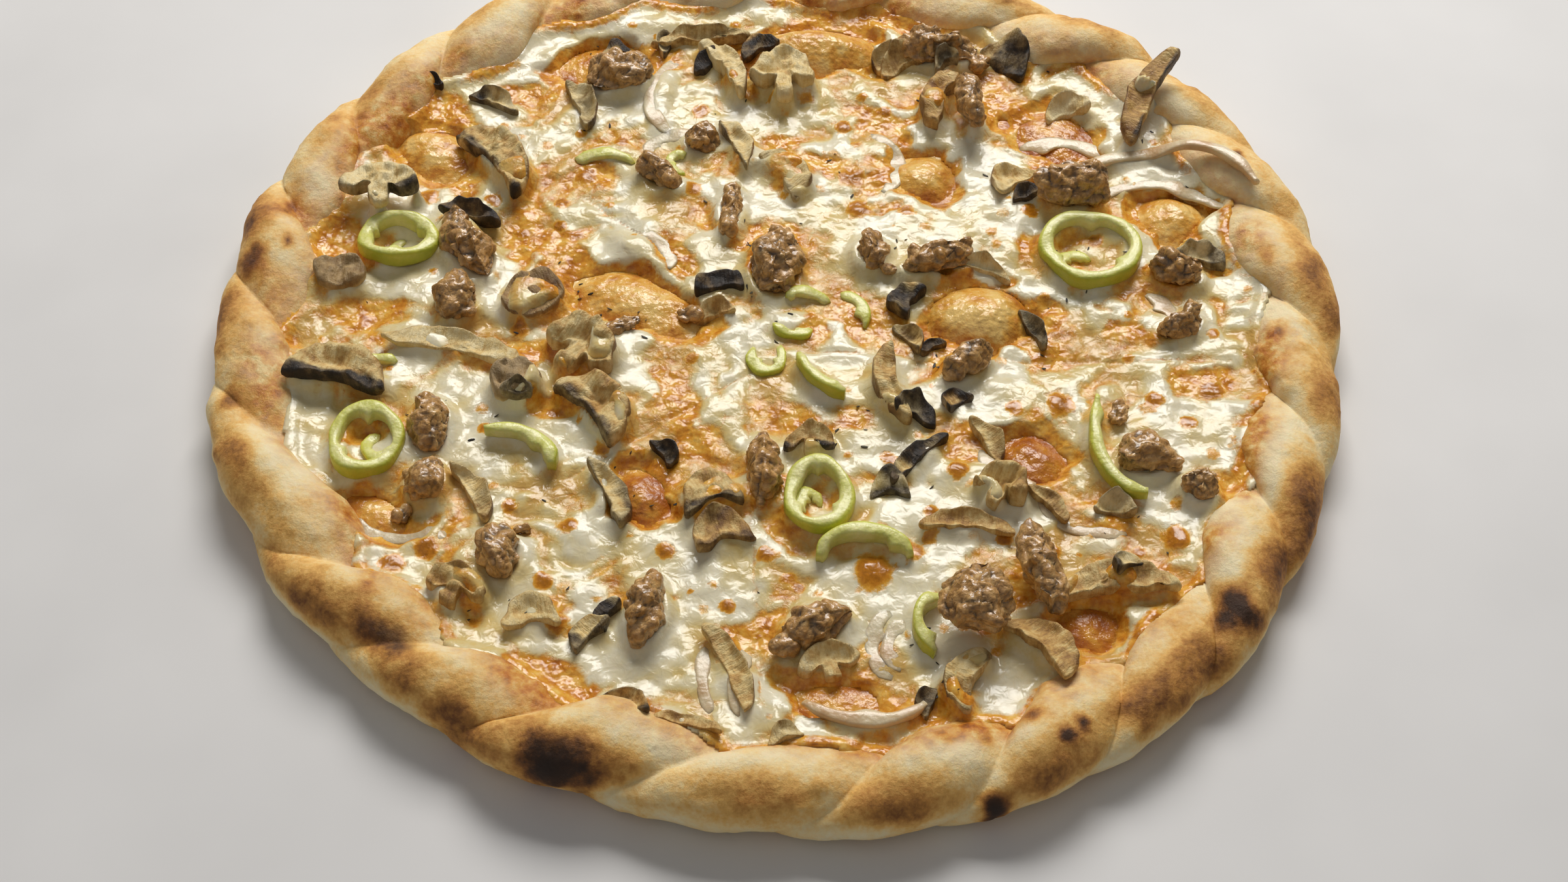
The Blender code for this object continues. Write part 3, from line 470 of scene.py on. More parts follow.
def meet(tree, start, way):
    """Level at which each grid point's upright ray meets a surface, and no number where it meets none."""
    levels = np.full(grid_x.shape, np.nan)
    ray = Vector((0.0, 0.0, way))
    for index in np.ndindex(grid_x.shape):
        hit = tree.ray_cast(Vector((grid_x[index], grid_y[index], start)), ray)[0]
        if hit is not None:
            levels[index] = hit.z
    return levels


def closed_layer(name, kept, top, bottom, material, **marks):
    """A layer over the kept grid squares: its top follows the levels, and walls lead to a flat bottom."""
    columns = grid_x.shape[1]
    rows, sides = np.nonzero(kept)
    corner = rows * columns + sides
    quads = np.stack((corner, corner + columns, corner + columns + 1, corner + 1), axis=-1)
    used, inverse = np.unique(quads, return_inverse=True)
    quads = inverse.reshape(quads.shape)
    points = np.stack((grid_x.ravel()[used], grid_y.ravel()[used], top.ravel()[used]), axis=-1)
    edges = np.concatenate([quads[:, [side, (side + 1) % 4]] for side in range(4)])
    seen = {(int(start), int(end)) for start, end in edges}
    border = [edge for edge in sorted(seen) if (edge[1], edge[0]) not in seen]
    low = {}
    for start, end in border:
        low.setdefault(start, len(low))
        low.setdefault(end, len(low))
    ordered = list(low)
    first_low = len(points)
    floor_points = points[ordered].copy()
    floor_points[:, 2] = bottom
    faces = quads.tolist()
    faces += [[end, start, first_low + low[start], first_low + low[end]] for start, end in border]
    flat = [Vector(point[:2]) for point in floor_points]
    _, _, triangles, sources, _, _ = delaunay_2d_cdt(flat, [(low[a], low[b]) for a, b in border], [], 0, 1e-9)
    for triangle in triangles:
        corners = [sources[index][0] for index in triangle]
        middle = sum((flat[index] for index in corners), Vector((0.0, 0.0))) / 3.0
        at = tuple(np.floor((np.array(middle) + REACH) / CELL).astype(int))
        if kept[at]:
            faces.append([first_low + index for index in corners[::-1]])
    all_marks = {mark: np.concatenate((values.ravel()[used], values.ravel()[used][ordered]))
                 for mark, values in marks.items()}
    return build(name, np.concatenate((points, floor_points)), faces, material, **all_marks)


def oily_sauce():
    """Tomato sauce and oil baked to a thin skin: glossy, golden to red-orange, finely pitted."""
    material, tree, shader = new_material("oily_baked_sauce")
    place = put(tree, "ShaderNodeTexCoord").outputs["Object"]
    red, pale = (put(tree, "ShaderNodeAttribute", attribute_name=mark).outputs["Fac"]
                 for mark in ("red", "pale"))
    patch = put(tree, "ShaderNodeTexNoise",
                {"Vector": place, "Scale": per(5), "Detail": 5, "Roughness": 0.62})
    shade = put(tree, "ShaderNodeMath", {0: patch.outputs["Fac"], 1: 1.3, 2: -0.52}, operation="MULTIPLY_ADD")
    shade = put(tree, "ShaderNodeMath", {0: red, 1: 0.62, 2: shade.outputs[0]}, operation="MULTIPLY_ADD")
    colour = put(tree, "ShaderNodeValToRGB", {"Fac": shade.outputs[0]}, stops=(
        (0.0, "#F0C878"), (0.2, "#E2A848"), (0.4, "#C8822A"), (0.62, "#B0641E"), (0.9, "#864216")))
    mixed = put(tree, "ShaderNodeMix", {0: pale, 6: colour.outputs[0], 7: linear("#DDBA7A")},
                data_type="RGBA")
    tree.links.new(mixed.outputs[2], shader.inputs["Base Color"])
    pits = put(tree, "ShaderNodeTexNoise",
               {"Vector": place, "Scale": per(1.3), "Detail": 3, "Roughness": 0.5})
    bubbles = put(tree, "ShaderNodeTexVoronoi", {"Vector": place, "Scale": per(1.7)}, feature="SMOOTH_F1")
    relief = put(tree, "ShaderNodeMath", {0: bubbles.outputs["Distance"], 1: -1.0, 2: pits.outputs["Fac"]},
                 operation="MULTIPLY_ADD")
    bump = put(tree, "ShaderNodeBump", {"Height": relief.outputs[0], "Strength": 0.7, "Distance": 0.5 * MM})
    tree.links.new(bump.outputs[0], shader.inputs["Normal"])
    gloss = put(tree, "ShaderNodeMath", {0: patch.outputs["Fac"], 1: 0.6, 2: -0.06}, operation="MULTIPLY_ADD")
    tree.links.new(gloss.outputs[0], shader.inputs["Roughness"])
    shader.inputs["Subsurface Weight"].default_value = 0.1
    shader.inputs["Subsurface Radius"].default_value = (0.7, 0.5, 0.3)
    shader.inputs["Subsurface Scale"].default_value = 1.0 * MM
    return material


# Over the grid: the crust's level, how far out of the nearest bare place it is, and the sauce's level
crust_tree = surface_tree([crust])
crust_top = np.nan_to_num(meet(crust_tree, 0.1, -1.0))
bare_out = np.full(grid_x.shape, 9.0)
bubble = np.zeros(grid_x.shape)
redness = np.zeros(grid_x.shape)
uneven_edge = 1.0 + 0.30 * spread(9 * MM, 41) + 0.16 * spread(4 * MM, 42)
for row in BARE_PLACES:
    out = ellipse(row) * uneven_edge
    dome = row[5] * MM * np.cos(0.5 * np.pi * np.clip(ellipse(row) / 1.02, 0.0, 1.0)) ** 0.9
    bubble = np.maximum(bubble, dome)
    redness = np.where(out < bare_out, row[6], redness)
    bare_out = np.minimum(bare_out, out)
sauce_level = SAUCE_TOP + bubble * (1.0 + 0.16 * spread(8 * MM, 47)) + 0.10 * MM * spread(2.2 * MM, 44)
sauce_level += (0.40 * MM * spread(4.5 * MM, 43) + 0.16 * MM * spread(2.2 * MM, 48)) * ease(bubble / MM)
near_crust = blurred((crust_top > SAUCE_TOP + 1.5 * MM).astype(float), 1.8 * MM)
rim_middle = edge_radius(np.arctan2(grid_y, grid_x)) - ROLL_HALF_WIDTH
inside_rim = (near_crust < 0.9) & (np.hypot(grid_x, grid_y) < rim_middle)


def squares(held):
    """Grid squares whose four corners are all held."""
    kept = np.zeros_like(held)
    kept[:-1, :-1] = held[:-1, :-1] & held[1:, :-1] & held[:-1, 1:] & held[1:, 1:]
    return kept


def make_sauce():
    """The whole layer inside the rim: redder round the foot of each bubble, paler under the cheese."""
    bubble_foot = ease((bare_out - 0.45) / 0.5) * ease(0.6 + spread(6 * MM, 46))
    piece = closed_layer("sauce_and_oil", squares(inside_rim), sauce_level, BASE_TOP + GAP, oily_sauce(),
                         red=redness + 0.25 * spread(7 * MM, 45) + 0.35 * bubble_foot,
                         pale=0.35 * ease((bare_out - 1.1) / 0.4))
    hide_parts("sauce")
    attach(piece, "root")


make_sauce()


# The cheese. Grated mild cheese, melted and run together into soft white mounds, thin and see-through
# between them, blistered brown where it bubbled, drawn up round each topping and into the rim's folds.
CHEESE_TOP = 8.8 * MM
# Its hills, its climb at the rim, and its mounds over the thin places
CHEESE_BUMP = 1.1 * MM
CHEESE_RIM_CLIMB = 0.8 * MM
MOUND_HEIGHT = 0.9 * MM
# The cheese's relief, everywhere and between the mounds: rise, size and the noise's seed
CHEESE_LUMPS = ((0.24 * MM, 3.4 * MM, 64), (0.55 * MM, 7 * MM, 77))
CURD_LUMPS = ((0.30 * MM, 2.6 * MM, 68), (0.16 * MM, 1.8 * MM, 69))
# How far it reaches up a topping, how much more up a slice, the most that it climbs, its skin over a slice
CHEESE_HOLD = 1.2 * MM
SLICE_HOLD = 1.3 * MM
CHEESE_CLIMB = 3.6 * MM
CHEESE_OVER = 0.8 * MM
# How softly it climbs round a topping and runs over a slice, and how deep it ends under the bare sauce
CLIMB_BLUR, VEIL_BLUR = 1.7 * MM, 1.1 * MM
BARE_DEPTH = 0.35 * MM
# Swells where the cheese has run over a mushroom slice or an onion bow: x, y, half sizes, turn, height
COVERED_PIECES = (
    (-83, -9, 20, 4.5, -12, 2.4), (-9, -109, 16, 4.0, -66, 2.0), (-58, -93, 8, 5.5, 10, 1.8),
    (-14, -70, 8, 5.5, -20, 2.0), (-117, 14, 8, 6.5, 0, 2.6), (-41, -59, 11, 4.0, -65, 1.8),
    (-34, 88, 14, 3.5, 84, 1.6), (46, -67, 12, 3.5, 0, 1.6), (35, -46, 10, 3.5, 50, 1.6),
    (-38, 27, 12, 4.0, -45, 1.4),
)
# Brown blisters: x, y and half size in mm
BLISTERS = (
    (23, -80, 5.2), (-85, -73, 3.4), (-51, -66, 2.6), (-27, -74, 2.4), (-56, -83, 2.8), (-52, -95, 3.0),
    (-3, -75, 2.4), (33, -74, 3.0), (-44, -42, 2.4), (45, -49, 3.0), (20, 55, 4.2), (22, 43, 3.6),
    (35, 42, 2.2), (45, 46, 3.2), (-24, 50, 2.6), (18, 76, 2.4), (30, 82, 2.2), (-23, 82, 2.6),
    (-45, 69, 2.4), (-54, 56, 3.2), (72, -27, 4.0), (96, -26, 2.6), (97, -70, 3.4), (-107, -18, 3.0),
    (-68, -2, 2.4), (-97, 47, 3.0), (-70, 34, 2.4), (-60, 36, 2.2), (-60, 45, 2.6), (86, 30, 2.4),
    (66, -73, 2.8), (-79, 46, 2.4), (111, -22, 3.6), (104, -33, 2.6), (60, -28, 2.2), (-12, -90, 2.0),
    (28, -45, 2.2), (-93, -78, 3.2), (-66, -60, 2.0), (5, -84, 1.8), (55, -70, 1.8), (38, -62, 2.0),
    (69, 43, 2.4), (-14, 76, 1.8), (88, -73, 2.0), (-74, -36, 2.0),
)
# Golden places where the cheese is thin and oily: x, y, half sizes, turn, strength
GOLDEN_PLACES = (
    (13, -32, 14, 6, -8, 0.9), (-107, 4, 15, 5, 0, 0.7), (-100, 74, 24, 14, -38, 1.0), (-2, 35, 9, 7, 0, 0.9),
    (-52, -112, 13, 8, -15, 1.0), (108, -18, 12, 9, 20, 0.8), (104, 12, 12, 14, 0, 0.6),
    (-68, 92, 14, 8, 20, 0.7), (-120, 30, 8, 18, 0, 0.7), (-104, -34, 12, 9, 0, 0.5),
    (-75, -93, 9, 6, 0, 0.5), (32, -120, 14, 6, 0, 0.6), (88, -82, 12, 7, 0, 0.7),
    (-16, 60, 9, 7, 0, 0.6), (60, 92, 9, 9, 0, 0.7), (-60, 28, 14, 5, -50, 0.5), (-27, 22, 12, 5, -50, 0.7),
    (70, -3, 9, 8, 0, 0.6), (26, 5, 9, 9, 0, 0.6), (-83, 52, 10, 6, 0, 0.5), (48, -40, 9, 7, 0, 0.8),
    (-60, -45, 9, 7, 0, 0.4), (110, -68, 9, 8, 0, 0.8), (-2, -98, 5, 5, 0, 0.4), (100, 95, 14, 8, 0, 0.6),
    (-36, 104, 8, 8, 0, 0.7), (-104, 84, 14, 9, 20, 0.8), (92, -5, 8, 6, 0, 0.5), (2, -66, 7, 5, 0, 0.6),
)
# Wheel cuts through the cheese, from x, y to x, y
WHEEL_CUTS = ((-7, -12, -4, -118), (5, -9, 118, -12), (-4, -14, -52, -50), (-12, 10, -72, 62))
CUT_WIDTH = 1.0 * MM
CUT_DEPTH = 0.5 * MM
# Faint small blisters strewn over the whole cheese
EXTRA_BLISTERS, BLISTERED_RADIUS_MM = 200, 128

# Over the grid: the undersides of all toppings, and the tops of the slices
topping_nodes = [name for name in sorted(frame["nodes"]) if name not in ("crust", "sauce", "cheese")]
topping_tree = surface_tree([frame["nodes"][name] for name in topping_nodes])
topping_foot = meet(topping_tree, 0.0, 1.0)
slice_tree = surface_tree([frame["nodes"][name] for name in topping_nodes if name.startswith("mushroom")])
slice_top = meet(slice_tree, 0.1, -1.0)


def mounds():
    """How far the cheese has run together: above 0 on its mounds, below 0 in the thin oily places."""
    moved = flat_grid + 5 * MM * np.stack((lumps(flat_grid, 12 * MM, 56), lumps(flat_grid, 12 * MM, 57),
                                           np.zeros(len(flat_grid))), axis=-1)
    field = lumps(moved, 14 * MM, 61) + 0.6 * lumps(moved, 7 * MM, 62) + 0.4 * lumps(moved, 3.5 * MM, 63)
    field = field.reshape(grid_x.shape) + 0.20
    for row in GOLDEN_PLACES:
        field -= 1.1 * row[5] * (1.0 - ease((ellipse(row) - 0.5) / 0.8))
    return field - 1.2 * (1.0 - ease((bare_out - 0.9) / 0.45))


def cheese_hills():
    """The cheese's own level: soft hills, a climb at the rim, and swells over the slices it hides."""
    level = CHEESE_TOP + 0.6 * CHEESE_BUMP * spread(15 * MM, 51)
    level += CHEESE_RIM_CLIMB * ease((np.hypot(grid_x, grid_y) - 0.112) / 0.014)
    swell = np.zeros(grid_x.shape)
    for row in COVERED_PIECES:
        swell = np.maximum(swell, row[5] * MM * (1.0 - ease(ellipse(row) - 0.35)))
    return level + swell


def blister_marks():
    """How strongly each grid point lies in a brown blister, and the blisters' relief."""
    rng = np.random.default_rng(7)
    rows = [(x, y, size, 1.0) for x, y, size in BLISTERS]
    for _ in range(EXTRA_BLISTERS):
        angle, radius = rng.uniform(0, 2 * np.pi), BLISTERED_RADIUS_MM * math.sqrt(rng.uniform(0, 1))
        size, strength = rng.uniform(0.7, 2.2), rng.uniform(0.3, 0.9)
        rows.append((radius * math.cos(angle), radius * math.sin(angle), size, strength))
    mark = np.zeros(grid_x.shape)
    relief = np.zeros(grid_x.shape)
    rough = 1.0 + 0.22 * spread(2.6 * MM, 53) + 0.14 * spread(1.2 * MM, 54)
    for x, y, size, strength in rows:
        away = np.hypot(grid_x - x * MM, grid_y - y * MM) / (size * MM) * rough
        mark = np.maximum(mark, strength * (1.0 - ease((away - 0.55) / 0.75)))
        relief = np.maximum(relief, 0.16 * size * MM * (1.0 - ease(away - 0.2)))
    return mark, relief


def cut_mark():
    """How near each grid point is to one of the wheel cuts."""
    mark = np.zeros(grid_x.shape)
    for x1, y1, x2, y2 in WHEEL_CUTS:
        run = np.array((x2 - x1, y2 - y1)) * MM
        dx, dy = grid_x - x1 * MM, grid_y - y1 * MM
        share = (dx * run[0] + dy * run[1]) / (run @ run)
        wander = 1.4 * MM * spread(22 * MM, 55)
        beside = np.abs((dx * run[1] - dy * run[0]) / np.linalg.norm(run) + wander)
        mark = np.maximum(mark, (1.0 - ease(beside / CUT_WIDTH)) * ((share > 0) & (share < 1)))
    return mark


def melted_cheese():
    """Melted mild cheese: soft, milky and wet with oil; ochre where thin, orange to brown where blistered."""
    material, tree, shader = new_material("melted_cheese")
    place = put(tree, "ShaderNodeTexCoord").outputs["Object"]
    white, golden, brown = (put(tree, "ShaderNodeAttribute", attribute_name=mark).outputs["Fac"]
                            for mark in ("white", "golden", "brown"))
    cloud = put(tree, "ShaderNodeTexNoise",
                {"Vector": place, "Scale": per(3.4), "Detail": 5, "Roughness": 0.6, "Distortion": 0.6})
    shade = put(tree, "ShaderNodeMath", {0: cloud.outputs["Fac"], 1: 0.6, 2: -0.3}, operation="MULTIPLY_ADD")
    shade = put(tree, "ShaderNodeMath", {0: shade.outputs[0], 1: white}, operation="ADD")
    milk = put(tree, "ShaderNodeValToRGB", {"Fac": shade.outputs[0]}, stops=(
        (0.0, "#C8964A"), (0.2, "#D2AC62"), (0.42, "#DAC282"), (0.68, "#E0D1A4"), (1.0, "#E6DDC0")))
    patch = put(tree, "ShaderNodeTexNoise",
                {"Vector": place, "Scale": per(4.5), "Detail": 5, "Roughness": 0.65})
    gold = put(tree, "ShaderNodeValToRGB", {"Fac": patch.outputs["Fac"]}, stops=(
        (0.32, "#EEC468"), (0.45, "#E4A840"), (0.56, "#D28A2A"), (0.70, "#AE6418")))
    curd = put(tree, "ShaderNodeTexNoise",
               {"Vector": place, "Scale": per(2.4), "Detail": 6, "Roughness": 0.62, "Distortion": 0.5})
    ragged = put(tree, "ShaderNodeMath", {0: curd.outputs["Fac"], 1: 1.3, 2: golden},
                 operation="MULTIPLY_ADD")
    oily_share = put(tree, "ShaderNodeMapRange",
                     {"Value": ragged.outputs[0], "From Min": 0.84, "From Max": 1.44},
                     interpolation_type="SMOOTHSTEP")
    oily = put(tree, "ShaderNodeMix", {0: oily_share.outputs[0], 6: milk.outputs[0], 7: gold.outputs[0]},
               data_type="RGBA")
    crackle = put(tree, "ShaderNodeTexNoise",
                  {"Vector": place, "Scale": per(1.4), "Detail": 4, "Roughness": 0.7})
    scorch = put(tree, "ShaderNodeMath", {0: crackle.outputs["Fac"], 1: 0.9, 2: brown},
                 operation="MULTIPLY_ADD")
    blister_share = put(tree, "ShaderNodeMapRange",
                        {"Value": scorch.outputs[0], "From Min": 0.66, "From Max": 0.98},
                        interpolation_type="SMOOTHSTEP")
    scorch_colour = put(tree, "ShaderNodeMapRange",
                        {"Value": scorch.outputs[0], "From Min": 0.7, "From Max": 1.7})
    scorch_colour = put(tree, "ShaderNodeValToRGB", {"Fac": scorch_colour.outputs[0]}, stops=(
        (0.0, "#E8BC62"), (0.3, "#DCA038"), (0.6, "#C47E1E"), (1.0, "#8E5610")))
    blistered = put(tree, "ShaderNodeMix", {0: blister_share.outputs[0], 6: oily.outputs[2],
                                            7: scorch_colour.outputs[0]}, data_type="RGBA")
    tree.links.new(blistered.outputs[2], shader.inputs["Base Color"])
    fine = put(tree, "ShaderNodeTexNoise",
               {"Vector": place, "Scale": per(2.8), "Detail": 2, "Roughness": 0.42, "Distortion": 0.6})
    bubbles = put(tree, "ShaderNodeTexVoronoi", {"Vector": place, "Scale": per(1.5)}, feature="SMOOTH_F1")
    bubbles = put(tree, "ShaderNodeMath", {0: bubbles.outputs["Distance"], 1: oily_share.outputs[0]},
                  operation="MULTIPLY")
    calm = put(tree, "ShaderNodeMath", {0: white, 1: -0.55, 2: 1.1}, operation="MULTIPLY_ADD")
    fine = put(tree, "ShaderNodeMath", {0: fine.outputs["Fac"], 1: calm.outputs[0]}, operation="MULTIPLY")
    relief = put(tree, "ShaderNodeMath", {0: bubbles.outputs[0], 1: -0.6, 2: fine.outputs[0]},
                 operation="MULTIPLY_ADD")
    bump = put(tree, "ShaderNodeBump", {"Height": relief.outputs[0], "Strength": 0.65, "Distance": 0.8 * MM})
    tree.links.new(bump.outputs[0], shader.inputs["Normal"])
    gloss = put(tree, "ShaderNodeMath", {0: cloud.outputs["Fac"], 1: 0.5, 2: -0.06}, operation="MULTIPLY_ADD")
    tree.links.new(gloss.outputs[0], shader.inputs["Roughness"])
    shader.inputs["Subsurface Weight"].default_value = 0.26
    shader.inputs["Subsurface Radius"].default_value = (0.7, 0.55, 0.4)
    shader.inputs["Subsurface Scale"].default_value = 1.8 * MM
    shader.inputs["Specular IOR Level"].default_value = 0.36
    shader.inputs["Coat Weight"].default_value = 0.08
    shader.inputs["Coat Roughness"].default_value = 0.04
    return material


def drawn_up(level):
    """The level as it climbs round the toppings, how near they are, and how it veils the slices."""
    covered = (topping_foot < level + 4 * MM).astype(float)
    near = blurred(covered, CLIMB_BLUR)
    foot = blurred(covered * np.nan_to_num(topping_foot), CLIMB_BLUR) / np.maximum(near, 1e-4)
    on_slice = np.isfinite(slice_top).astype(float)
    near_slice = blurred(on_slice, CLIMB_BLUR)
    hold = CHEESE_HOLD + SLICE_HOLD * near_slice
    hold = hold * (1.0 + 1.1 * spread(11 * MM, 65) + 0.5 * spread(5 * MM, 70))
    drawn = np.minimum(foot + hold, level + CHEESE_CLIMB)
    level = level + (drawn - level) * ease(near / 0.5)
    veil = blurred(on_slice * ease((spread(7.5 * MM, 76) - 0.10) / 0.2), VEIL_BLUR)
    over = blurred(on_slice * np.nan_to_num(slice_top), VEIL_BLUR)
    over = over / np.maximum(blurred(on_slice, VEIL_BLUR), 1e-4)
    level = np.maximum(level, level + (over + CHEESE_OVER - level) * ease(1.25 * veil))
    return level, near, veil


def cheese_tints(run_together, rim, cut, brown, veil):
    """How white and how golden the cheese is at each grid point."""
    tint = 0.62 + 0.7 * spread(10 * MM, 67)
    for row in GOLDEN_PLACES:
        tint = np.maximum(tint, 1.1 * row[5] * (1.0 - ease((ellipse(row) - 0.6) / 0.8)))
    tint = np.maximum(tint, 1.0 - ease((bare_out - 1.0) / 0.6))
    golden = np.clip(tint, 0.15, 1.0) * (1.0 - ease(0.5 + run_together / 0.9))
    golden = np.maximum(golden, 0.8 * ease(rim / 0.4) * ease(0.6 + spread(12 * MM, 66)))
    golden = np.maximum(golden, 0.5 * cut)
    golden = np.maximum(golden, 0.7 * ease(brown / 0.3) * (1.0 - brown))
    milky = 0.72 + 0.40 * spread(9 * MM, 74) + 0.2 * spread(4 * MM, 75)
    white = (ease(0.5 + run_together / 1.1) * milky + 0.15) * (1.0 - 0.55 * veil)
    return white, golden


def make_cheese():
    """Lay the cheese, and give the level over the grid of what shows, cheese or sauce."""
    run_together = mounds()
    mound = ease(0.5 + run_together / 1.1)
    level = cheese_hills() + MOUND_HEIGHT * (mound ** 0.8 - 0.55)
    level += sum(rise * spread(size, seed) for rise, size, seed in CHEESE_LUMPS)
    level += sum(rise * spread(size, seed) for rise, size, seed in CURD_LUMPS) * (1.0 - 0.6 * mound)
    level, near, veil = drawn_up(level)
    brown, relief = blister_marks()
    brown = brown * (1.0 - ease((near - 2.0 * veil) / 0.5))
    cut = cut_mark() * (1.0 - ease(near / 0.3))
    level = level + relief * (1.0 - ease(near / 0.4)) - CUT_DEPTH * cut
    level += 0.22 * MM * spread(1.3 * MM, 73) * brown
    rim = blurred((crust_top > CHEESE_TOP + 0.5 * MM).astype(float), 1.8 * MM)
    level = level + 1.5 * MM * ease(rim / 0.6)
    open_share = ease((bare_out - 0.72) / 0.5)
    level = sauce_level - BARE_DEPTH + (level - sauce_level + BARE_DEPTH) * open_share
    shows = (level > sauce_level - 0.25 * MM) & (rim < 0.92) & (np.hypot(grid_x, grid_y) < rim_middle)
    white, golden = cheese_tints(run_together, rim, cut, brown, veil)
    piece = closed_layer("melted_cheese", squares(shows), level, BASE_TOP + 2 * GAP, melted_cheese(),
                         white=np.clip(white, 0.0, 1.0), golden=np.clip(golden, 0.0, 1.0),
                         brown=np.clip(brown, 0.0, 1.0))
    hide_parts("cheese")
    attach(piece, "root")
    return np.maximum(level, sauce_level)


ground = make_cheese()


def ground_at(x, y):
    """Level of the cheese or sauce under points given in metres."""
    place_x = np.clip((np.asarray(x) + REACH) / CELL, 0, len(steps) - 1.001)
    place_y = np.clip((np.asarray(y) + REACH) / CELL, 0, len(steps) - 1.001)
    low_x, low_y = np.floor(place_x).astype(int), np.floor(place_y).astype(int)
    part_x, part_y = place_x - low_x, place_y - low_y
    near_side = ground[low_x, low_y] * (1 - part_x) + ground[low_x + 1, low_y] * part_x
    far_side = ground[low_x, low_y + 1] * (1 - part_x) + ground[low_x + 1, low_y + 1] * part_x
    return near_side * (1 - part_y) + far_side * part_y


# The green pepper. A mild green pepper cut across in rings and bows, softened in the oven: a thin glossy
# skin on the outside, pale watery flesh inside with the stubs of its ribs.
# x, y, half sizes in mm, first and last angle in degrees
PEPPERS = (
    (84, 25, 12, 11.5, 0, 360), (-103, 28, 9, 7.5, 0, 360), (-103, -42, 8, 9.5, 0, 360),
    (10, -59, 7, 10, 0, 360), (93, -38, 14, 20, 150, 262), (-70, -51, 14, 13, 5, 105),
    (21, -79, 11, 9, 15, 170), (42, -97, 9, 9, 110, 235), (22, -8, 18, 18, 195, 255),
)
# Smaller bits that lie in the cheese
PEPPER_BITS = (
    (17, 3, 6, 8, -20, 95), (-51, 55, 13, 8, 40, 120), (-103, -20, 8, 7, 60, 130), (-3, -11, 4, 5, 150, 400),
    (4, 1, 5, 5, 200, 330), (8, 6, 6, 5, 30, 160), (-28, 60, 3, 4, 60, 300), (80, 22, 4, 3, 20, 230),
    (-100, -43, 3, 4, 90, 330), (-101, 27, 3.5, 3, 100, 330), (8, -60, 2.5, 3.5, 0, 240),
)
PEPPER_WALL, PEPPER_HEIGHT = 3.4 * MM, 5.5 * MM
PEPPER_BIT_WALL, PEPPER_BIT_HEIGHT = 3.0 * MM, 2.6 * MM
BOW_SECTION = 18


def levels_under(node, xs, ys):
    """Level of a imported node's underside along a line, filled in where the ray misses it."""
    tree = surface_tree([frame["nodes"][node]])
    found = [tree.ray_cast(Vector((x, y, 0.0)), Vector((0, 0, 1)))[0] for x, y in zip(xs, ys)]
    levels = np.array([hit.z if hit is not None else np.nan for hit in found])
    good = np.isfinite(levels)
    return np.interp(np.arange(len(levels)), np.nonzero(good)[0], levels[good])


def bow_points(row, wall, height, node, seed, sink):
    """Points of one ring or bow, station by station round its rounded section, and its skin mark."""
    x, y, half_x, half_y = (value * MM for value in row[:4])
    first, last = row[4], row[5]
    closed = last - first >= 360 and node is not None
    stations = max(12, int((last - first) / 360 * (half_x + half_y) * np.pi / (1.1 * MM)))
    share = np.arange(stations) / (stations if closed else stations - 1)
    way = np.radians(first + (last - first) * share)
    wave = 1.0 + 0.04 * np.sin(3.0 * way + x * 900.0)
    middle_x, middle_y = x + half_x * wave * np.cos(way), y + half_y * wave * np.sin(way)
    if node is None:
        levels = ground_at(middle_x, middle_y) - sink
    else:
        levels = levels_under(node, middle_x, middle_y)
    kernel = np.ones(5) / 5
    edge = "wrap" if closed else "edge"
    levels = np.convolve(np.pad(levels, 2, mode=edge), kernel, mode="valid")
    thin = np.ones(stations) if closed else 0.5 + 0.5 * ease(6.0 * np.minimum(share, 1.0 - share))
    rng = np.random.default_rng(seed)
    swell = 1.0 + 0.18 * np.sin(2 * way + rng.uniform(0, 6)) + 0.12 * np.sin(5 * way + rng.uniform(0, 6))
    ribs = np.maximum(np.cos(3 * way + rng.uniform(0, 6)), 0.0) ** 8
    turn = np.linspace(0.0, 2.0 * np.pi, BOW_SECTION, endpoint=False)
    across = 0.5 * np.sign(np.cos(turn)) * np.abs(np.cos(turn)) ** 0.55
    up = 0.5 + 0.5 * np.sign(np.sin(turn)) * np.abs(np.sin(turn)) ** 0.55
    inner = np.clip(-np.cos(turn), 0.0, 1.0)
    reach = wall * thin[:, None] * (across[None, :] * swell[:, None] - 0.45 * ribs[:, None] * inner[None, :])
    tall = height * (0.92 + 0.10 * np.sin(2.0 * way + x * 500.0))
    rise = tall[:, None] * up[None, :] * thin[:, None] ** 0.5
    px = x + (half_x * wave[:, None] + reach) * np.cos(way)[:, None]
    py = y + (half_y * wave[:, None] + reach) * np.sin(way)[:, None]
    points = np.stack((px, py, levels[:, None] + rise), axis=-1).reshape(-1, 3)
    skin = np.broadcast_to(np.clip(np.cos(turn) * 1.6 - 0.1, 0.0, 1.0), (stations, BOW_SECTION)).reshape(-1)
    return points, skin, stations, closed


def bow_faces(stations, closed, first):
    """Faces round and along a ring or bow, with round-ended bows closed."""
    faces = []
    for station in range(stations if closed else stations - 1):
        after = (station + 1) % stations
        for side in range(BOW_SECTION):
            beside = (side + 1) % BOW_SECTION
            faces.append([first + station * BOW_SECTION + side, first + after * BOW_SECTION + side,
                          first + after * BOW_SECTION + beside, first + station * BOW_SECTION + beside])
    if not closed:
        faces.append([first + side for side in range(BOW_SECTION)])
        faces.append([first + (stations - 1) * BOW_SECTION + side for side in range(BOW_SECTION)][::-1])
    return faces


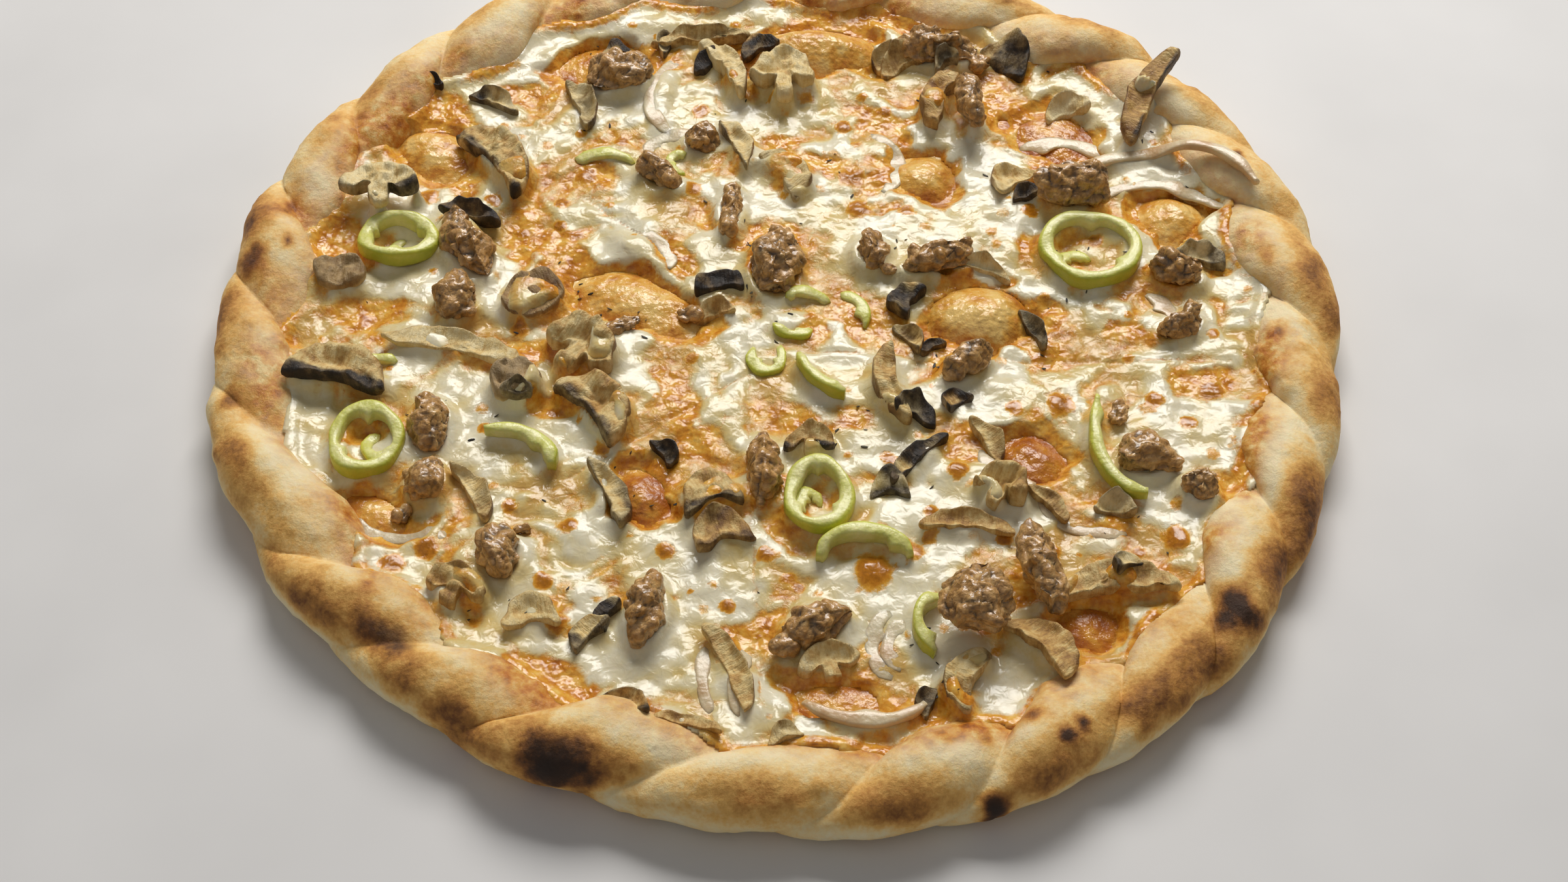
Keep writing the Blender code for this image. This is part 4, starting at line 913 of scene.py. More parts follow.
def make_bows(name, rows, material, relief):
    """Join rings and bows of one kind into a piece. A row is its sizes, wall, height, node or None, sink."""
    points, skins, faces, nodes = [], [], [], []
    for seed, (row, wall, height, node, sink) in enumerate(rows):
        made, skin, stations, closed = bow_points(row, wall, height, node, 70 + seed, sink)
        faces += bow_faces(stations, closed, sum(len(part) for part in points))
        points.append(made)
        skins.append(skin)
        if node is not None:
            nodes.append(node)
    points = np.concatenate(points)
    points[:, 2] += relief * lumps(points, 2.6 * MM, 71)
    points[:, :2] += (relief * lumps(points, 4.0 * MM, 72))[:, None]
    piece = build(name, points, faces, material, skin=np.concatenate(skins))
    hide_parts(*nodes)
    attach(piece, "root")


def softened_pepper():
    """Oven-softened green pepper: wet, part see-through flesh, with a firmer and greener glossy skin."""
    material, tree, shader = new_material("softened_green_pepper")
    place = put(tree, "ShaderNodeTexCoord").outputs["Object"]
    skin = put(tree, "ShaderNodeAttribute", attribute_name="skin").outputs["Fac"]
    patch = put(tree, "ShaderNodeTexNoise", {"Vector": place, "Scale": per(5), "Detail": 4})
    flesh = put(tree, "ShaderNodeValToRGB", {"Fac": patch.outputs["Fac"]}, stops=(
        (0.3, "#E8E2A2"), (0.55, "#D9D680"), (0.75, "#C9C75E")))
    green = put(tree, "ShaderNodeValToRGB", {"Fac": patch.outputs["Fac"]}, stops=(
        (0.3, "#BAC23C"), (0.55, "#CCCB48"), (0.75, "#DCD65A")))
    mixed = put(tree, "ShaderNodeMix", {0: skin, 6: flesh.outputs[0], 7: green.outputs[0]}, data_type="RGBA")
    tree.links.new(mixed.outputs[2], shader.inputs["Base Color"])
    fine = put(tree, "ShaderNodeTexNoise", {"Vector": place, "Scale": per(1.6), "Detail": 2})
    bump = put(tree, "ShaderNodeBump", {"Height": fine.outputs["Fac"], "Strength": 0.8, "Distance": 0.5 * MM})
    tree.links.new(bump.outputs[0], shader.inputs["Normal"])
    shader.inputs["Roughness"].default_value = 0.42
    shader.inputs["Specular IOR Level"].default_value = 0.35
    shader.inputs["Subsurface Weight"].default_value = 0.4
    shader.inputs["Subsurface Radius"].default_value = (0.8, 1.0, 0.25)
    shader.inputs["Subsurface Scale"].default_value = 2.5 * MM
    shader.inputs["Coat Weight"].default_value = 0.3
    shader.inputs["Coat Roughness"].default_value = 0.08
    return material


pepper_rows = [(row, PEPPER_WALL, PEPPER_HEIGHT, f"pepper_{number:02d}", 0.0)
               for number, row in enumerate(PEPPERS, start=1)]
pepper_rows += [(row, PEPPER_BIT_WALL, PEPPER_BIT_HEIGHT, None, 0.9 * MM) for row in PEPPER_BITS]
make_bows("green_pepper", pepper_rows, softened_pepper(), 0.25 * MM)


# The onion. A mild onion sliced thin; its layers part into flat bows, which turn glassy and pinkish in
# the oven and brown at their tips. Most lie half sunk in the cheese.
# x, y, half sizes in mm, first and last angle in degrees
ONIONS = ((102, 40, 30, 22, 12, 158), (20, -108, 19, 15, 222, 318))
ONION_BITS = (
    (66, -40, 15, 14, 188, 262), (80, -52, 15, 16, 190, 290), (-24, 88, 13, 18, 110, 240),
    (22, 60, 11, 14, -50, 70), (30, -100, 8, 9, 110, 250), (31, -101, 5, 6, 90, 250),
    (-46, 24, 16, 12, -20, 70), (88, 4, 16, 10, -40, 50), (-8, -110, 9, 16, 150, 220),
    (-2, -112, 7, 15, 140, 215), (76, 62, 16, 9, 20, 120), (-88, -62, 16, 8, 180, 300),
    (-28, 66, 9, 6, 60, 200), (102, 36, 24, 16, 25, 140),
)
ONION_WALL, ONION_HEIGHT = 3.4 * MM, 2.6 * MM
ONION_BIT_WALL, ONION_BIT_HEIGHT = 4.2 * MM, 1.3 * MM


def glassy_onion():
    """Softened onion: glassy and wet, cream to pinkish, with a fine uneven bump."""
    material, tree, shader = new_material("glassy_onion")
    place = put(tree, "ShaderNodeTexCoord").outputs["Object"]
    patch = put(tree, "ShaderNodeTexNoise", {"Vector": place, "Scale": per(9), "Detail": 4})
    colour = put(tree, "ShaderNodeValToRGB", {"Fac": patch.outputs["Fac"]}, stops=(
        (0.3, "#DFD2B2"), (0.5, "#D6C09A"), (0.66, "#C8A578"), (0.8, "#B08850")))
    tree.links.new(colour.outputs[0], shader.inputs["Base Color"])
    fine = put(tree, "ShaderNodeTexNoise", {"Vector": place, "Scale": per(1.4), "Detail": 2})
    bump = put(tree, "ShaderNodeBump", {"Height": fine.outputs["Fac"], "Strength": 0.6, "Distance": 0.4 * MM})
    tree.links.new(bump.outputs[0], shader.inputs["Normal"])
    shader.inputs["Roughness"].default_value = 0.36
    shader.inputs["Subsurface Weight"].default_value = 0.5
    shader.inputs["Subsurface Radius"].default_value = (1.0, 0.8, 0.5)
    shader.inputs["Subsurface Scale"].default_value = 3 * MM
    shader.inputs["Coat Weight"].default_value = 0.3
    shader.inputs["Coat Roughness"].default_value = 0.1
    return material


onion_rows = [(row, ONION_WALL, ONION_HEIGHT, f"onion_{number:02d}", 0.0)
              for number, row in enumerate(ONIONS, start=1)]
onion_rows += [(row, ONION_BIT_WALL, ONION_BIT_HEIGHT, None, 0.9 * MM) for row in ONION_BITS]
make_bows("onion_bows", onion_rows, glassy_onion(), 0.2 * MM)


# The mushrooms. White mushrooms sliced top to bottom and baked dry: tan leathery flesh, a thin brown skin
# round the cap, and gills that have turned black. Small ends and curls lie loose in the cheese.
# x, y, length, width, thickness in mm, turn, outline, and how black its gills are; the cap's skin lies
# towards the slice's own +Y
MUSHROOMS = (
    (-109, 44, 22, 15, 4.5, 0, "cap", 0.9), (-112, -20, 27, 13, 4.5, -12, "half", 1.0),
    (-78, 60, 31, 12, 6, -52, "half", 0.95), (-16, 97, 26, 8, 5, -62, "bean", 0.3),
    (1, 92, 18, 20, 5, 0, "cap", 0.1), (-12, 66, 21, 7, 4, -68, "bean", 0.7),
    (3, 55, 20, 10, 4, -58, "half", 0.6), (-65, 8, 17, 15, 4, 30, "round", 0.0),
    (-51, -12, 20, 17, 7, -35, "cap", 0.2), (-67, -23, 13, 12, 7, 10, "round", 0.0),
    (-45, -30, 24, 13, 6, -50, "half", 0.8), (-17, -57, 15, 12, 4.5, 20, "half", 0.8),
    (-76, -87, 15, 11, 5, -20, "cap", 0.2), (43, -112, 18, 9, 4.5, 68, "half", 0.6),
    (63, -103, 22, 10, 3.5, -52, "half", 0.15), (8, -42, 13, 9, 5, 0, "cap", 1.0),
    (29, -23, 25, 8, 5.5, 100, "bean", 0.5), (55, -57, 14, 12, 6.5, -30, "cap", 0.3),
    (80, -84, 30, 9, 4, 4, "half", 0.1), (45, 84, 22, 8, 5.5, 70, "half", 0.5),
    (104, 79, 33, 9, 3.5, 62, "bean", 0.85),
)
# Ends, curls and thin slices: the same, where the last number is how black the whole scrap is
MUSHROOM_BITS = (
    (-23, 112, 30, 5, 3.5, 8, "bean", 0.5), (-7, 108, 11, 9, 3.5, 20, "half", 0.9),
    (-22, 101, 8, 5, 3, 40, "round", 1.0), (-33, 110, 9, 5, 3, 60, "bean", 0.9),
    (-57, 83, 20, 7, 4, -70, "bean", 0.6), (-84, 38, 18, 6, 4, -12, "bean", 1.0),
    (-117, 15, 14, 11, 5, 0, "round", 0.1), (-83, -9, 38, 8, 2.5, -14, "half", 0.1),
    (-41, -58, 22, 7, 4, -65, "bean", 0.7), (-14, -69, 15, 11, 3.5, 20, "half", 0.6),
    (-75, -57, 20, 6, 3.5, -60, "bean", 0.4), (-28, -44, 9, 5, 3, -50, "bean", 1.0),
    (-58, -93, 14, 10, 2.5, 10, "half", 0.1), (-45, -98, 11, 6, 3.5, 50, "half", 0.8),
    (-40, -93, 9, 5, 3.5, 60, "bean", 1.0), (-35, -119, 14, 7, 3.5, -8, "half", 0.8),
    (-20, -124, 17, 4, 2, -14, "bean", 0.2), (-10, -108, 26, 6, 2.5, -66, "half", 0.1),
    (2, -127, 9, 5, 3, 20, "bean", 0.5), (12, -106, 15, 9, 3.5, 15, "cap", 0.2),
    (35, -117, 9, 5, 3.5, 60, "bean", 0.9), (35, -31, 11, 8, 3.5, -10, "half", 1.0),
    (45, -27, 9, 6, 3, 40, "half", 1.0), (35, -46, 22, 5, 3, 48, "bean", 1.0),
    (28, -54, 10, 8, 3.5, 0, "half", 0.9), (46, -66, 24, 6, 2.5, -4, "half", 0.2),
    (53, -40, 14, 6, 4, -60, "bean", 0.4), (67, -60, 13, 5, 3, -45, "bean", 0.4),
    (83, -61, 11, 6, 3, -8, "bean", 0.6), (83, -82, 8, 5, 3.5, 30, "bean", 0.9),
    (33, 8, 11, 8, 4, 60, "half", 1.0), (34, -5, 12, 5, 3, -55, "bean", 0.8),
    (-16, 14, 13, 7, 4, 8, "half", 1.0), (67, -2, 14, 4, 3, -65, "bean", 0.8),
    (66, 104, 16, 13, 5, -30, "half", 0.9), (64, 54, 14, 10, 3, 35, "half", 0.2),
    (68, 47, 8, 5, 3, 10, "bean", 0.9), (114, 25, 14, 7, 4, -20, "half", 0.8),
    (-17, 4, 11, 5, 3, 10, "bean", 0.3), (82, 83, 13, 7, 3, 10, "half", 0.3),
    (55, 19, 16, 4, 2.5, -18, "bean", 0.5), (35, 102, 14, 8, 4, 30, "half", 0.5),
    (-48, 108, 10, 6, 3.5, 20, "bean", 1.0), (-100, 90, 7, 4, 3, 10, "bean", 1.0),
    (-110, 88, 6, 3.5, 2.5, 0, "bean", 1.0), (-82, 84, 16, 5, 3, -20, "bean", 0.8),
    (48, 100, 8, 5, 4, 20, "bean", 0.8), (30, 104, 9, 5, 4, 70, "bean", 0.7),
    (40, -8, 8, 4, 3, 30, "bean", 0.9), (-66, -28, 8, 4, 3, 0, "bean", 0.8),
)
# How deep slices lie in the cheese, for a bit as a share of its thickness, and how far their ends curl up
SLICE_SINK, SLICE_CURL = 0.3 * MM, 1.0 * MM
BIT_SINK, BIT_CURL = 0.5, 3.4 * MM
SAMPLES_PER_CORNER = 4
# The slab's rings from the middle of its underside to the middle of its top: how far out, how high
SLAB_RINGS = ((0.03, 0.0), (0.5, 0.0), (0.88, 0.0), (0.965, 0.10), (1.0, 0.34), (1.0, 0.62), (0.975, 0.85),
              (0.925, 0.97), (0.85, 1.0), (0.74, 1.0), (0.61, 1.0), (0.47, 1.0), (0.33, 1.0), (0.19, 1.0),
              (0.05, 1.0))
# No loose slice leans more than this slope
LEAN_LIMIT = 0.45


def slice_corners(kind, length, width):
    """Corners of a slice's outline, seen from above."""
    if kind == "cap":
        way = np.pi * np.arange(9) / 8
        arc = np.stack((0.5 * length * np.cos(way), width * (0.62 * np.sin(way) - 0.12)), axis=-1)
        stem = np.array(((-0.33, -0.22), (-0.13, -0.10), (-0.12, -0.48),
                         (0.12, -0.50), (0.14, -0.10), (0.33, -0.22)))
        return np.concatenate((arc, stem * (length, width)))
    if kind == "half":
        way = np.pi * np.arange(8) / 7
        arc = np.stack((0.5 * length * np.cos(way), width * (0.95 * np.sin(way) - 0.45)), axis=-1)
        under = np.array(((-0.28, -0.42), (0.0, -0.30), (0.28, -0.42)))
        return np.concatenate((arc, under * (length, width)))
    if kind == "round":
        way = 2.0 * np.pi * np.arange(11) / 11
        return np.stack((0.5 * length * np.cos(way), 0.5 * width * np.sin(way)), axis=-1)
    way = 2.0 * np.pi * np.arange(12) / 12
    bow = 0.22 * width * np.cos(2.0 * way)
    return np.stack((0.5 * length * np.cos(way), 0.42 * width * np.sin(way) - bow), axis=-1)


def rounded(corners, samples):
    """A smooth closed line through the corners."""
    before, after, beyond = (np.roll(corners, step, axis=0) for step in (1, -1, -2))
    line = []
    for part in np.arange(samples) / samples:
        line.append(0.5 * (2 * corners + (after - before) * part
                           + (2 * before - 5 * corners + 4 * after - beyond) * part ** 2
                           + (3 * corners - before - 3 * after + beyond) * part ** 3))
    return np.stack(line, axis=1).reshape(-1, 2)


def resting_plane(node):
    """Slopes and level of the flat underside of a packed slice."""
    mesh = frame["nodes"][node].data
    low = {index for face in mesh.polygons if face.normal.z < -0.85 for index in face.vertices}
    points = np.array([mesh.vertices[index].co for index in low])
    places = np.column_stack((points[:, :2], np.ones(len(points))))
    return np.linalg.lstsq(places, points[:, 2], rcond=None)[0]


def ground_plane(row):
    """Slopes and level of the cheese under a loose slice."""
    x, y, half = row[0] * MM, row[1] * MM, 0.35 * row[2] * MM
    angle = math.radians(row[5])
    ways = np.array(((0, 0), (1, 0), (-1, 0), (0, 0.4), (0, -0.4))) * half
    xs = x + ways[:, 0] * math.cos(angle) - ways[:, 1] * math.sin(angle)
    ys = y + ways[:, 0] * math.sin(angle) + ways[:, 1] * math.cos(angle)
    plane = np.linalg.lstsq(np.column_stack((xs, ys, np.ones(5))), ground_at(xs, ys), rcond=None)[0]
    steep = math.hypot(plane[0], plane[1])
    if steep > LEAN_LIMIT:
        level = plane[0] * x + plane[1] * y + plane[2]
        plane[:2] *= LEAN_LIMIT / steep
        plane[2] = level - plane[0] * x - plane[1] * y
    return plane


def skin_and_gill(kind, black, loose, place, rim, top, along, beside):
    """Where a slice has its brown skin, round the cap's outer edge, and where its gills are black."""
    edge = ease((rim - 0.90) / 0.08)
    skin = edge * ease(beside + 0.55) if kind != "round" else 0.75 * ease((top - 0.2) / 0.4)
    low_side = {"cap": ease((0.10 - beside) / 0.25) * ease((np.abs(along) - 0.16) / 0.14),
                "half": ease((-0.28 - beside) / 0.3), "bean": ease((-0.12 - beside) / 0.35),
                "round": np.zeros(len(beside))}[kind]
    if loose:
        sooty = black * ease(0.25 + 0.75 * black + 0.9 * lumps(place, 5 * MM, 86))
        return skin, np.maximum(low_side * black, sooty)
    return skin, low_side * black * ease(1.0 + lumps(place, 4 * MM, 87))


def slice_points(row, plane, seed, loose, sink, lift):
    """Points and marks of one slice: a slab with rounded edges, shrunk flesh and lifted ends."""
    x, y, length, width, thick = (value * MM for value in row[:5])
    turn, kind, black = math.radians(row[5]), row[6], row[7]
    rng = np.random.default_rng(seed)
    corners = slice_corners(kind, length, width)
    line = rounded(corners, SAMPLES_PER_CORNER)
    middle = np.array((0.0, 0.0 if kind in ("round", "half") else 0.12 * width))
    points, rim, top = [], [], []
    for out, up in SLAB_RINGS:
        ring = middle + (line - middle) * out
        points.append(np.column_stack((ring, np.full(len(ring), up))))
        rim.append(np.full(len(ring), out))
        top.append(np.full(len(ring), up))
    local = np.concatenate(points)
    rim, top = np.concatenate(rim), np.concatenate(top)
    along, beside = local[:, 0] / (0.5 * length), local[:, 1] / (0.5 * width)
    place = np.column_stack((local[:, :2], np.full(len(local), seed * 0.03)))
    dish = 0.16 * ease((0.9 - rim) / 0.7) * (1.0 - 0.5 * (kind == "round"))
    height = thick * (local[:, 2] * (1.0 + 0.14 * beside - dish * (top == 1.0))
                      + 0.30 * lumps(place, 5 * MM, 81) * top + 0.22 * lumps(place, 2 * MM, 82) * top)
    ends = lift * (rng.uniform(0.0, 1.0) * np.maximum(along, 0.0) ** 2
                   + rng.uniform(0.0, 1.0) * np.minimum(along, 0.0) ** 2)
    curl = lift * 0.7 * rng.uniform(0.0, 1.0) * np.maximum(beside, 0.0) ** 2
    height = height + ends + curl
    frayed = 0.35 * MM * lumps(place, 1.9 * MM, 88) * ease((rim - 0.6) / 0.4)
    wavy = 0.4 * MM * lumps(place, 3 * MM, 84) + frayed
    local_x = local[:, 0] * (1.0 + 0.04 * lumps(place, 4 * MM, 83)) + wavy
    local_y = local[:, 1] + 0.5 * MM * lumps(place, 3 * MM, 85) + frayed
    world_x = x + local_x * math.cos(turn) - local_y * math.sin(turn)
    world_y = y + local_x * math.sin(turn) + local_y * math.cos(turn)
    level = plane[0] * world_x + plane[1] * world_y + plane[2]
    world = np.column_stack((world_x, world_y, level + height - sink))
    skin, gill = skin_and_gill(kind, black, loose, place, rim, top, along, beside)
    marks = {"skin": skin, "gill": gill, "tone": np.full(len(local), rng.uniform(0.0, 1.0)),
             "across_cap": local[:, 0], "down_stem": local[:, 1]}
    return world, len(line), marks


def slab_faces(sides, first):
    """Faces between a slab's rings, and its two middles."""
    rings = len(SLAB_RINGS)
    faces = [[first + index for index in face] for face in ring_faces(rings, sides)]
    faces.append([first + side for side in range(sides)][::-1])
    faces.append([first + (rings - 1) * sides + side for side in range(sides)])
    return faces


def baked_mushroom():
    """Baked mushroom: dry tan flesh with fine fibres, a thin leathery brown skin, and sooty black gills."""
    material, tree, shader = new_material("baked_mushroom")
    place = put(tree, "ShaderNodeTexCoord").outputs["Object"]
    skin, gill, tone, across, down = (put(tree, "ShaderNodeAttribute", attribute_name=mark).outputs["Fac"]
                                      for mark in ("skin", "gill", "tone", "across_cap", "down_stem"))
    across = put(tree, "ShaderNodeMath", {0: across, 1: per(0.8)}, operation="MULTIPLY").outputs[0]
    down = put(tree, "ShaderNodeMath", {0: down, 1: per(5)}, operation="MULTIPLY").outputs[0]
    which = put(tree, "ShaderNodeMath", {0: tone, 1: 40.0}, operation="MULTIPLY").outputs[0]
    grain_place = put(tree, "ShaderNodeCombineXYZ", {0: across, 1: down, 2: which}).outputs[0]
    streak = put(tree, "ShaderNodeTexNoise", {
        "Vector": grain_place, "Scale": 1.0, "Detail": 3, "Roughness": 0.6})
    patch = put(tree, "ShaderNodeTexNoise", {
        "Vector": place, "Scale": per(4), "Detail": 5, "Roughness": 0.65})
    shade = put(tree, "ShaderNodeMath", {0: tone, 1: 0.34, 2: -0.38}, operation="MULTIPLY_ADD")
    shade = put(tree, "ShaderNodeMath", {0: streak.outputs["Fac"], 1: 0.38, 2: shade.outputs[0]},
                operation="MULTIPLY_ADD")
    shade = put(tree, "ShaderNodeMath", {0: shade.outputs[0], 1: patch.outputs["Fac"]}, operation="ADD")
    flesh = put(tree, "ShaderNodeValToRGB", {"Fac": shade.outputs[0]}, stops=(
        (0.25, "#F8E4B0"), (0.45, "#E9CB88"), (0.6, "#CB9F58"), (0.8, "#936632")))
    skin_colour = put(tree, "ShaderNodeValToRGB", {"Fac": patch.outputs["Fac"]}, stops=(
        (0.3, "#AC844E"), (0.5, "#7E5A32"), (0.7, "#523820")))
    gill_colour = put(tree, "ShaderNodeValToRGB", {"Fac": patch.outputs["Fac"]}, stops=(
        (0.3, "#5C4632"), (0.5, "#33271D"), (0.7, "#1A1511")))
    skinned = put(tree, "ShaderNodeMix", {0: skin, 6: flesh.outputs[0], 7: skin_colour.outputs[0]},
                  data_type="RGBA")
    ragged = put(tree, "ShaderNodeMath", {0: patch.outputs["Fac"], 1: 0.8, 2: gill}, operation="MULTIPLY_ADD")
    sooty = put(tree, "ShaderNodeMapRange", {"Value": ragged.outputs[0], "From Min": 0.62, "From Max": 1.45},
                interpolation_type="SMOOTHSTEP")
    gilled = put(tree, "ShaderNodeMix", {
        0: sooty.outputs[0], 6: skinned.outputs[2], 7: gill_colour.outputs[0]}, data_type="RGBA")
    tree.links.new(gilled.outputs[2], shader.inputs["Base Color"])
    fibre = put(tree, "ShaderNodeTexNoise", {
        "Vector": place, "Scale": per(0.9), "Detail": 5, "Roughness": 0.7})
    relief = put(tree, "ShaderNodeMath", {0: streak.outputs["Fac"], 1: 1.2, 2: fibre.outputs["Fac"]},
                 operation="MULTIPLY_ADD")
    bump = put(tree, "ShaderNodeBump", {"Height": relief.outputs[0], "Strength": 0.9, "Distance": 0.5 * MM})
    tree.links.new(bump.outputs[0], shader.inputs["Normal"])
    gloss = put(tree, "ShaderNodeMath", {0: gill, 1: 0.08, 2: 0.42}, operation="MULTIPLY_ADD")
    tree.links.new(gloss.outputs[0], shader.inputs["Roughness"])
    shader.inputs["Specular IOR Level"].default_value = 0.5
    return material


def make_mushrooms():
    """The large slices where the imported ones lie, and the small ones half sunk in the cheese."""
    rows = [(row, resting_plane(f"mushroom_{number:02d}"), False, SLICE_SINK, SLICE_CURL)
            for number, row in enumerate(MUSHROOMS, start=1)]
    rows += [(row, ground_plane(row), True, BIT_SINK * row[4] * MM, BIT_CURL) for row in MUSHROOM_BITS]
    points, faces, all_marks = [], [], []
    for seed, (row, plane, loose, sink, lift) in enumerate(rows):
        made, sides, marks = slice_points(row, plane, 200 + seed, loose, sink, lift)
        faces += slab_faces(sides, sum(len(part) for part in points))
        points.append(made)
        all_marks.append(marks)
    joined = {mark: np.concatenate([marks[mark] for marks in all_marks]) for mark in all_marks[0]}
    piece = build("mushroom_slices", np.concatenate(points), faces, baked_mushroom(), **joined)
    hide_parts(*[f"mushroom_{number:02d}" for number in range(1, len(MUSHROOMS) + 1)])
    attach(piece, "root")


make_mushrooms()


# The sausage. Raw minced sausage, crumbled by hand and fried in the pizza's own fat: knobbly lumps of
# meat grains, shiny with fat on top, with painted shade near black in their crevices.
SAUSAGE_VOXEL = 0.55 * MM
MEAT_GRAIN = 2.7 * MM
# Crumbs that came off the lumps: x, y, length, width and height in mm, and turn
SAUSAGE_CRUMBS = (
    (-41, -1, 12, 6, 5, 20), (-24, 4, 8, 6, 4, 0), (2, -102, 8, 6, 5, 30), (87, -31, 9, 6, 5, 70),
    (-13, 47, 6, 4, 4, 10), (30, 18, 6, 4, 3.5, 0), (58, 101, 8, 6, 5, 40), (-62, -68, 6, 4, 4, 0),
    (-92, -63, 6, 5, 4, 60), (98, -49, 6, 5, 4, 0), (16, -94, 6, 4, 4, 20), (55, -10, 5, 4, 4, 0),
)


def merged_sausage():
    """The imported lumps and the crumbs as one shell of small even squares."""
    shaper = bmesh.new()
    for number in range(1, 26):
        shaper.from_mesh(frame["nodes"][f"sausage_{number:02d}"].data)
    bmesh.ops.remove_doubles(shaper, verts=shaper.verts[:], dist=0.01 * MM)
    for x, y, length, width, height, turn in SAUSAGE_CRUMBS:
        level = float(ground_at(x * MM, y * MM)) + 0.3 * height * MM
        turned = Matrix.Rotation(math.radians(turn), 3, "Z")
        place = Matrix.LocRotScale(Vector((x * MM, y * MM, level)), turned,
                                   Vector((length, width, height)) * 0.5 * MM)
        bmesh.ops.create_icosphere(shaper, subdivisions=2, radius=1.0, matrix=place)
    mesh = bpy.data.meshes.new("sausage_shell")
    shaper.to_mesh(mesh)
    shaper.free()
    holder = bpy.data.objects.new("sausage_shell", mesh)
    bpy.context.scene.collection.objects.link(holder)
    remesh = holder.modifiers.new("even_squares", "REMESH")
    remesh.mode = "VOXEL"
    remesh.voxel_size = SAUSAGE_VOXEL
    made = bpy.data.meshes.new_from_object(holder.evaluated_get(bpy.context.evaluated_depsgraph_get()))
    bpy.data.objects.remove(holder, do_unlink=True)
    return made


def fried_sausage():
    """Fried minced sausage: brown meat in many tones, shiny with fat; painted shade makes the crevices near
    black.
    """
    material, tree, shader = new_material("fried_minced_sausage")
    place = put(tree, "ShaderNodeTexCoord").outputs["Object"]
    crevice = put(tree, "ShaderNodeAttribute", attribute_name="crevice").outputs["Fac"]
    grain = put(tree, "ShaderNodeTexVoronoi", {"Vector": place, "Scale": per(1.9)})
    patch = put(tree, "ShaderNodeTexNoise", {"Vector": place, "Scale": per(3), "Detail": 5, "Roughness": 0.7})
    meat = put(tree, "ShaderNodeValToRGB", {"Fac": patch.outputs["Fac"]}, stops=(
        (0.28, "#E8C384"), (0.43, "#CE9E5E"), (0.57, "#AE7F42"), (0.74, "#7E5A2C")))
    # Painted shade: the crevice mark mixes a near-black brown into the meat's colour
    darker = put(tree, "ShaderNodeMix", {0: crevice, 6: meat.outputs[0], 7: linear("#3A2A16")},
                 data_type="RGBA")
    tree.links.new(darker.outputs[2], shader.inputs["Base Color"])
    fine = put(tree, "ShaderNodeTexNoise", {
        "Vector": place, "Scale": per(1.1), "Detail": 2.5, "Roughness": 0.55})
    relief = put(tree, "ShaderNodeMath", {0: grain.outputs["Distance"], 1: -0.8, 2: fine.outputs["Fac"]},
                 operation="MULTIPLY_ADD")
    bump = put(tree, "ShaderNodeBump", {"Height": relief.outputs[0], "Strength": 0.8, "Distance": 0.5 * MM})
    tree.links.new(bump.outputs[0], shader.inputs["Normal"])
    shader.inputs["Roughness"].default_value = 0.42
    shader.inputs["Coat Weight"].default_value = 0.6
    shader.inputs["Coat Roughness"].default_value = 0.07
    return material


def make_sausage():
    """Pushes the shell in and out along its own faces, so that the lumps get their grains and creases."""
    mesh = merged_sausage()
    count = len(mesh.vertices)
    points = np.zeros(count * 3)
    normals = np.zeros(count * 3)
    mesh.vertices.foreach_get("co", points)
    mesh.vertices.foreach_get("normal", normals)
    points, normals = points.reshape(-1, 3), normals.reshape(-1, 3)
    bent = points + 1.6 * MM * np.stack([lumps(points, 4 * MM, seed) for seed in (95, 96, 97)], axis=-1)
    near, second = grains(bent, MEAT_GRAIN, 91)
    parted = 1.0 - ease((second - near) / 0.16)
    creases = 1.0 - np.abs(lumps(bent, 3.6 * MM, 93)) * 2.2
    swell = (1.5 * MM * lumps(points, 6.5 * MM, 92) - 0.55 * MM * creases + 0.9 * MM * (0.42 - near)
             - 0.25 * MM * parted + 0.22 * MM * lumps(bent, 1.3 * MM, 94))
    points = points + normals * swell[:, None]
    # Painted shade for the crevices: strong where the grains part and in the deep creases
    crevice = np.clip(0.5 * parted + 0.6 * ease((creases - 0.55) / 0.45) - 0.1, 0.0, 0.9)
    piece = build("sausage_lumps", points, [list(face.vertices) for face in mesh.polygons], fried_sausage(),
                  crevice=crevice)
    bpy.data.meshes.remove(mesh)
    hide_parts(*[f"sausage_{number:02d}" for number in range(1, 26)])
    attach(piece, "root")


make_sausage()


# The herbs. A pinch of dried oregano and ground pepper, strewn over the cheese before baking. Flakes are
# curled scraps of leaf one or two millimetres long.
HERBS_PER_SQUARE_METRE = 9000.0
HERB_LENGTH, HERB_WIDTH, HERB_THICKNESS = 2.2 * MM, 0.8 * MM, 0.22 * MM
HERB_CURL = 160.0


def dried_herb():
    """Dried and baked leaf: matt, dark olive to black-brown."""
    material, tree, shader = new_material("dried_herb")
    place = put(tree, "ShaderNodeTexCoord").outputs["Object"]
    tone = put(tree, "ShaderNodeTexNoise", {"Vector": place, "Scale": per(12), "Detail": 2})
    colour = put(tree, "ShaderNodeValToRGB", {"Fac": tone.outputs["Fac"]}, stops=(
        (0.35, "#4A4426"), (0.5, "#2E281A"), (0.65, "#1D1712")))
    tree.links.new(colour.outputs[0], shader.inputs["Base Color"])
    shader.inputs["Roughness"].default_value = 0.65
    return material


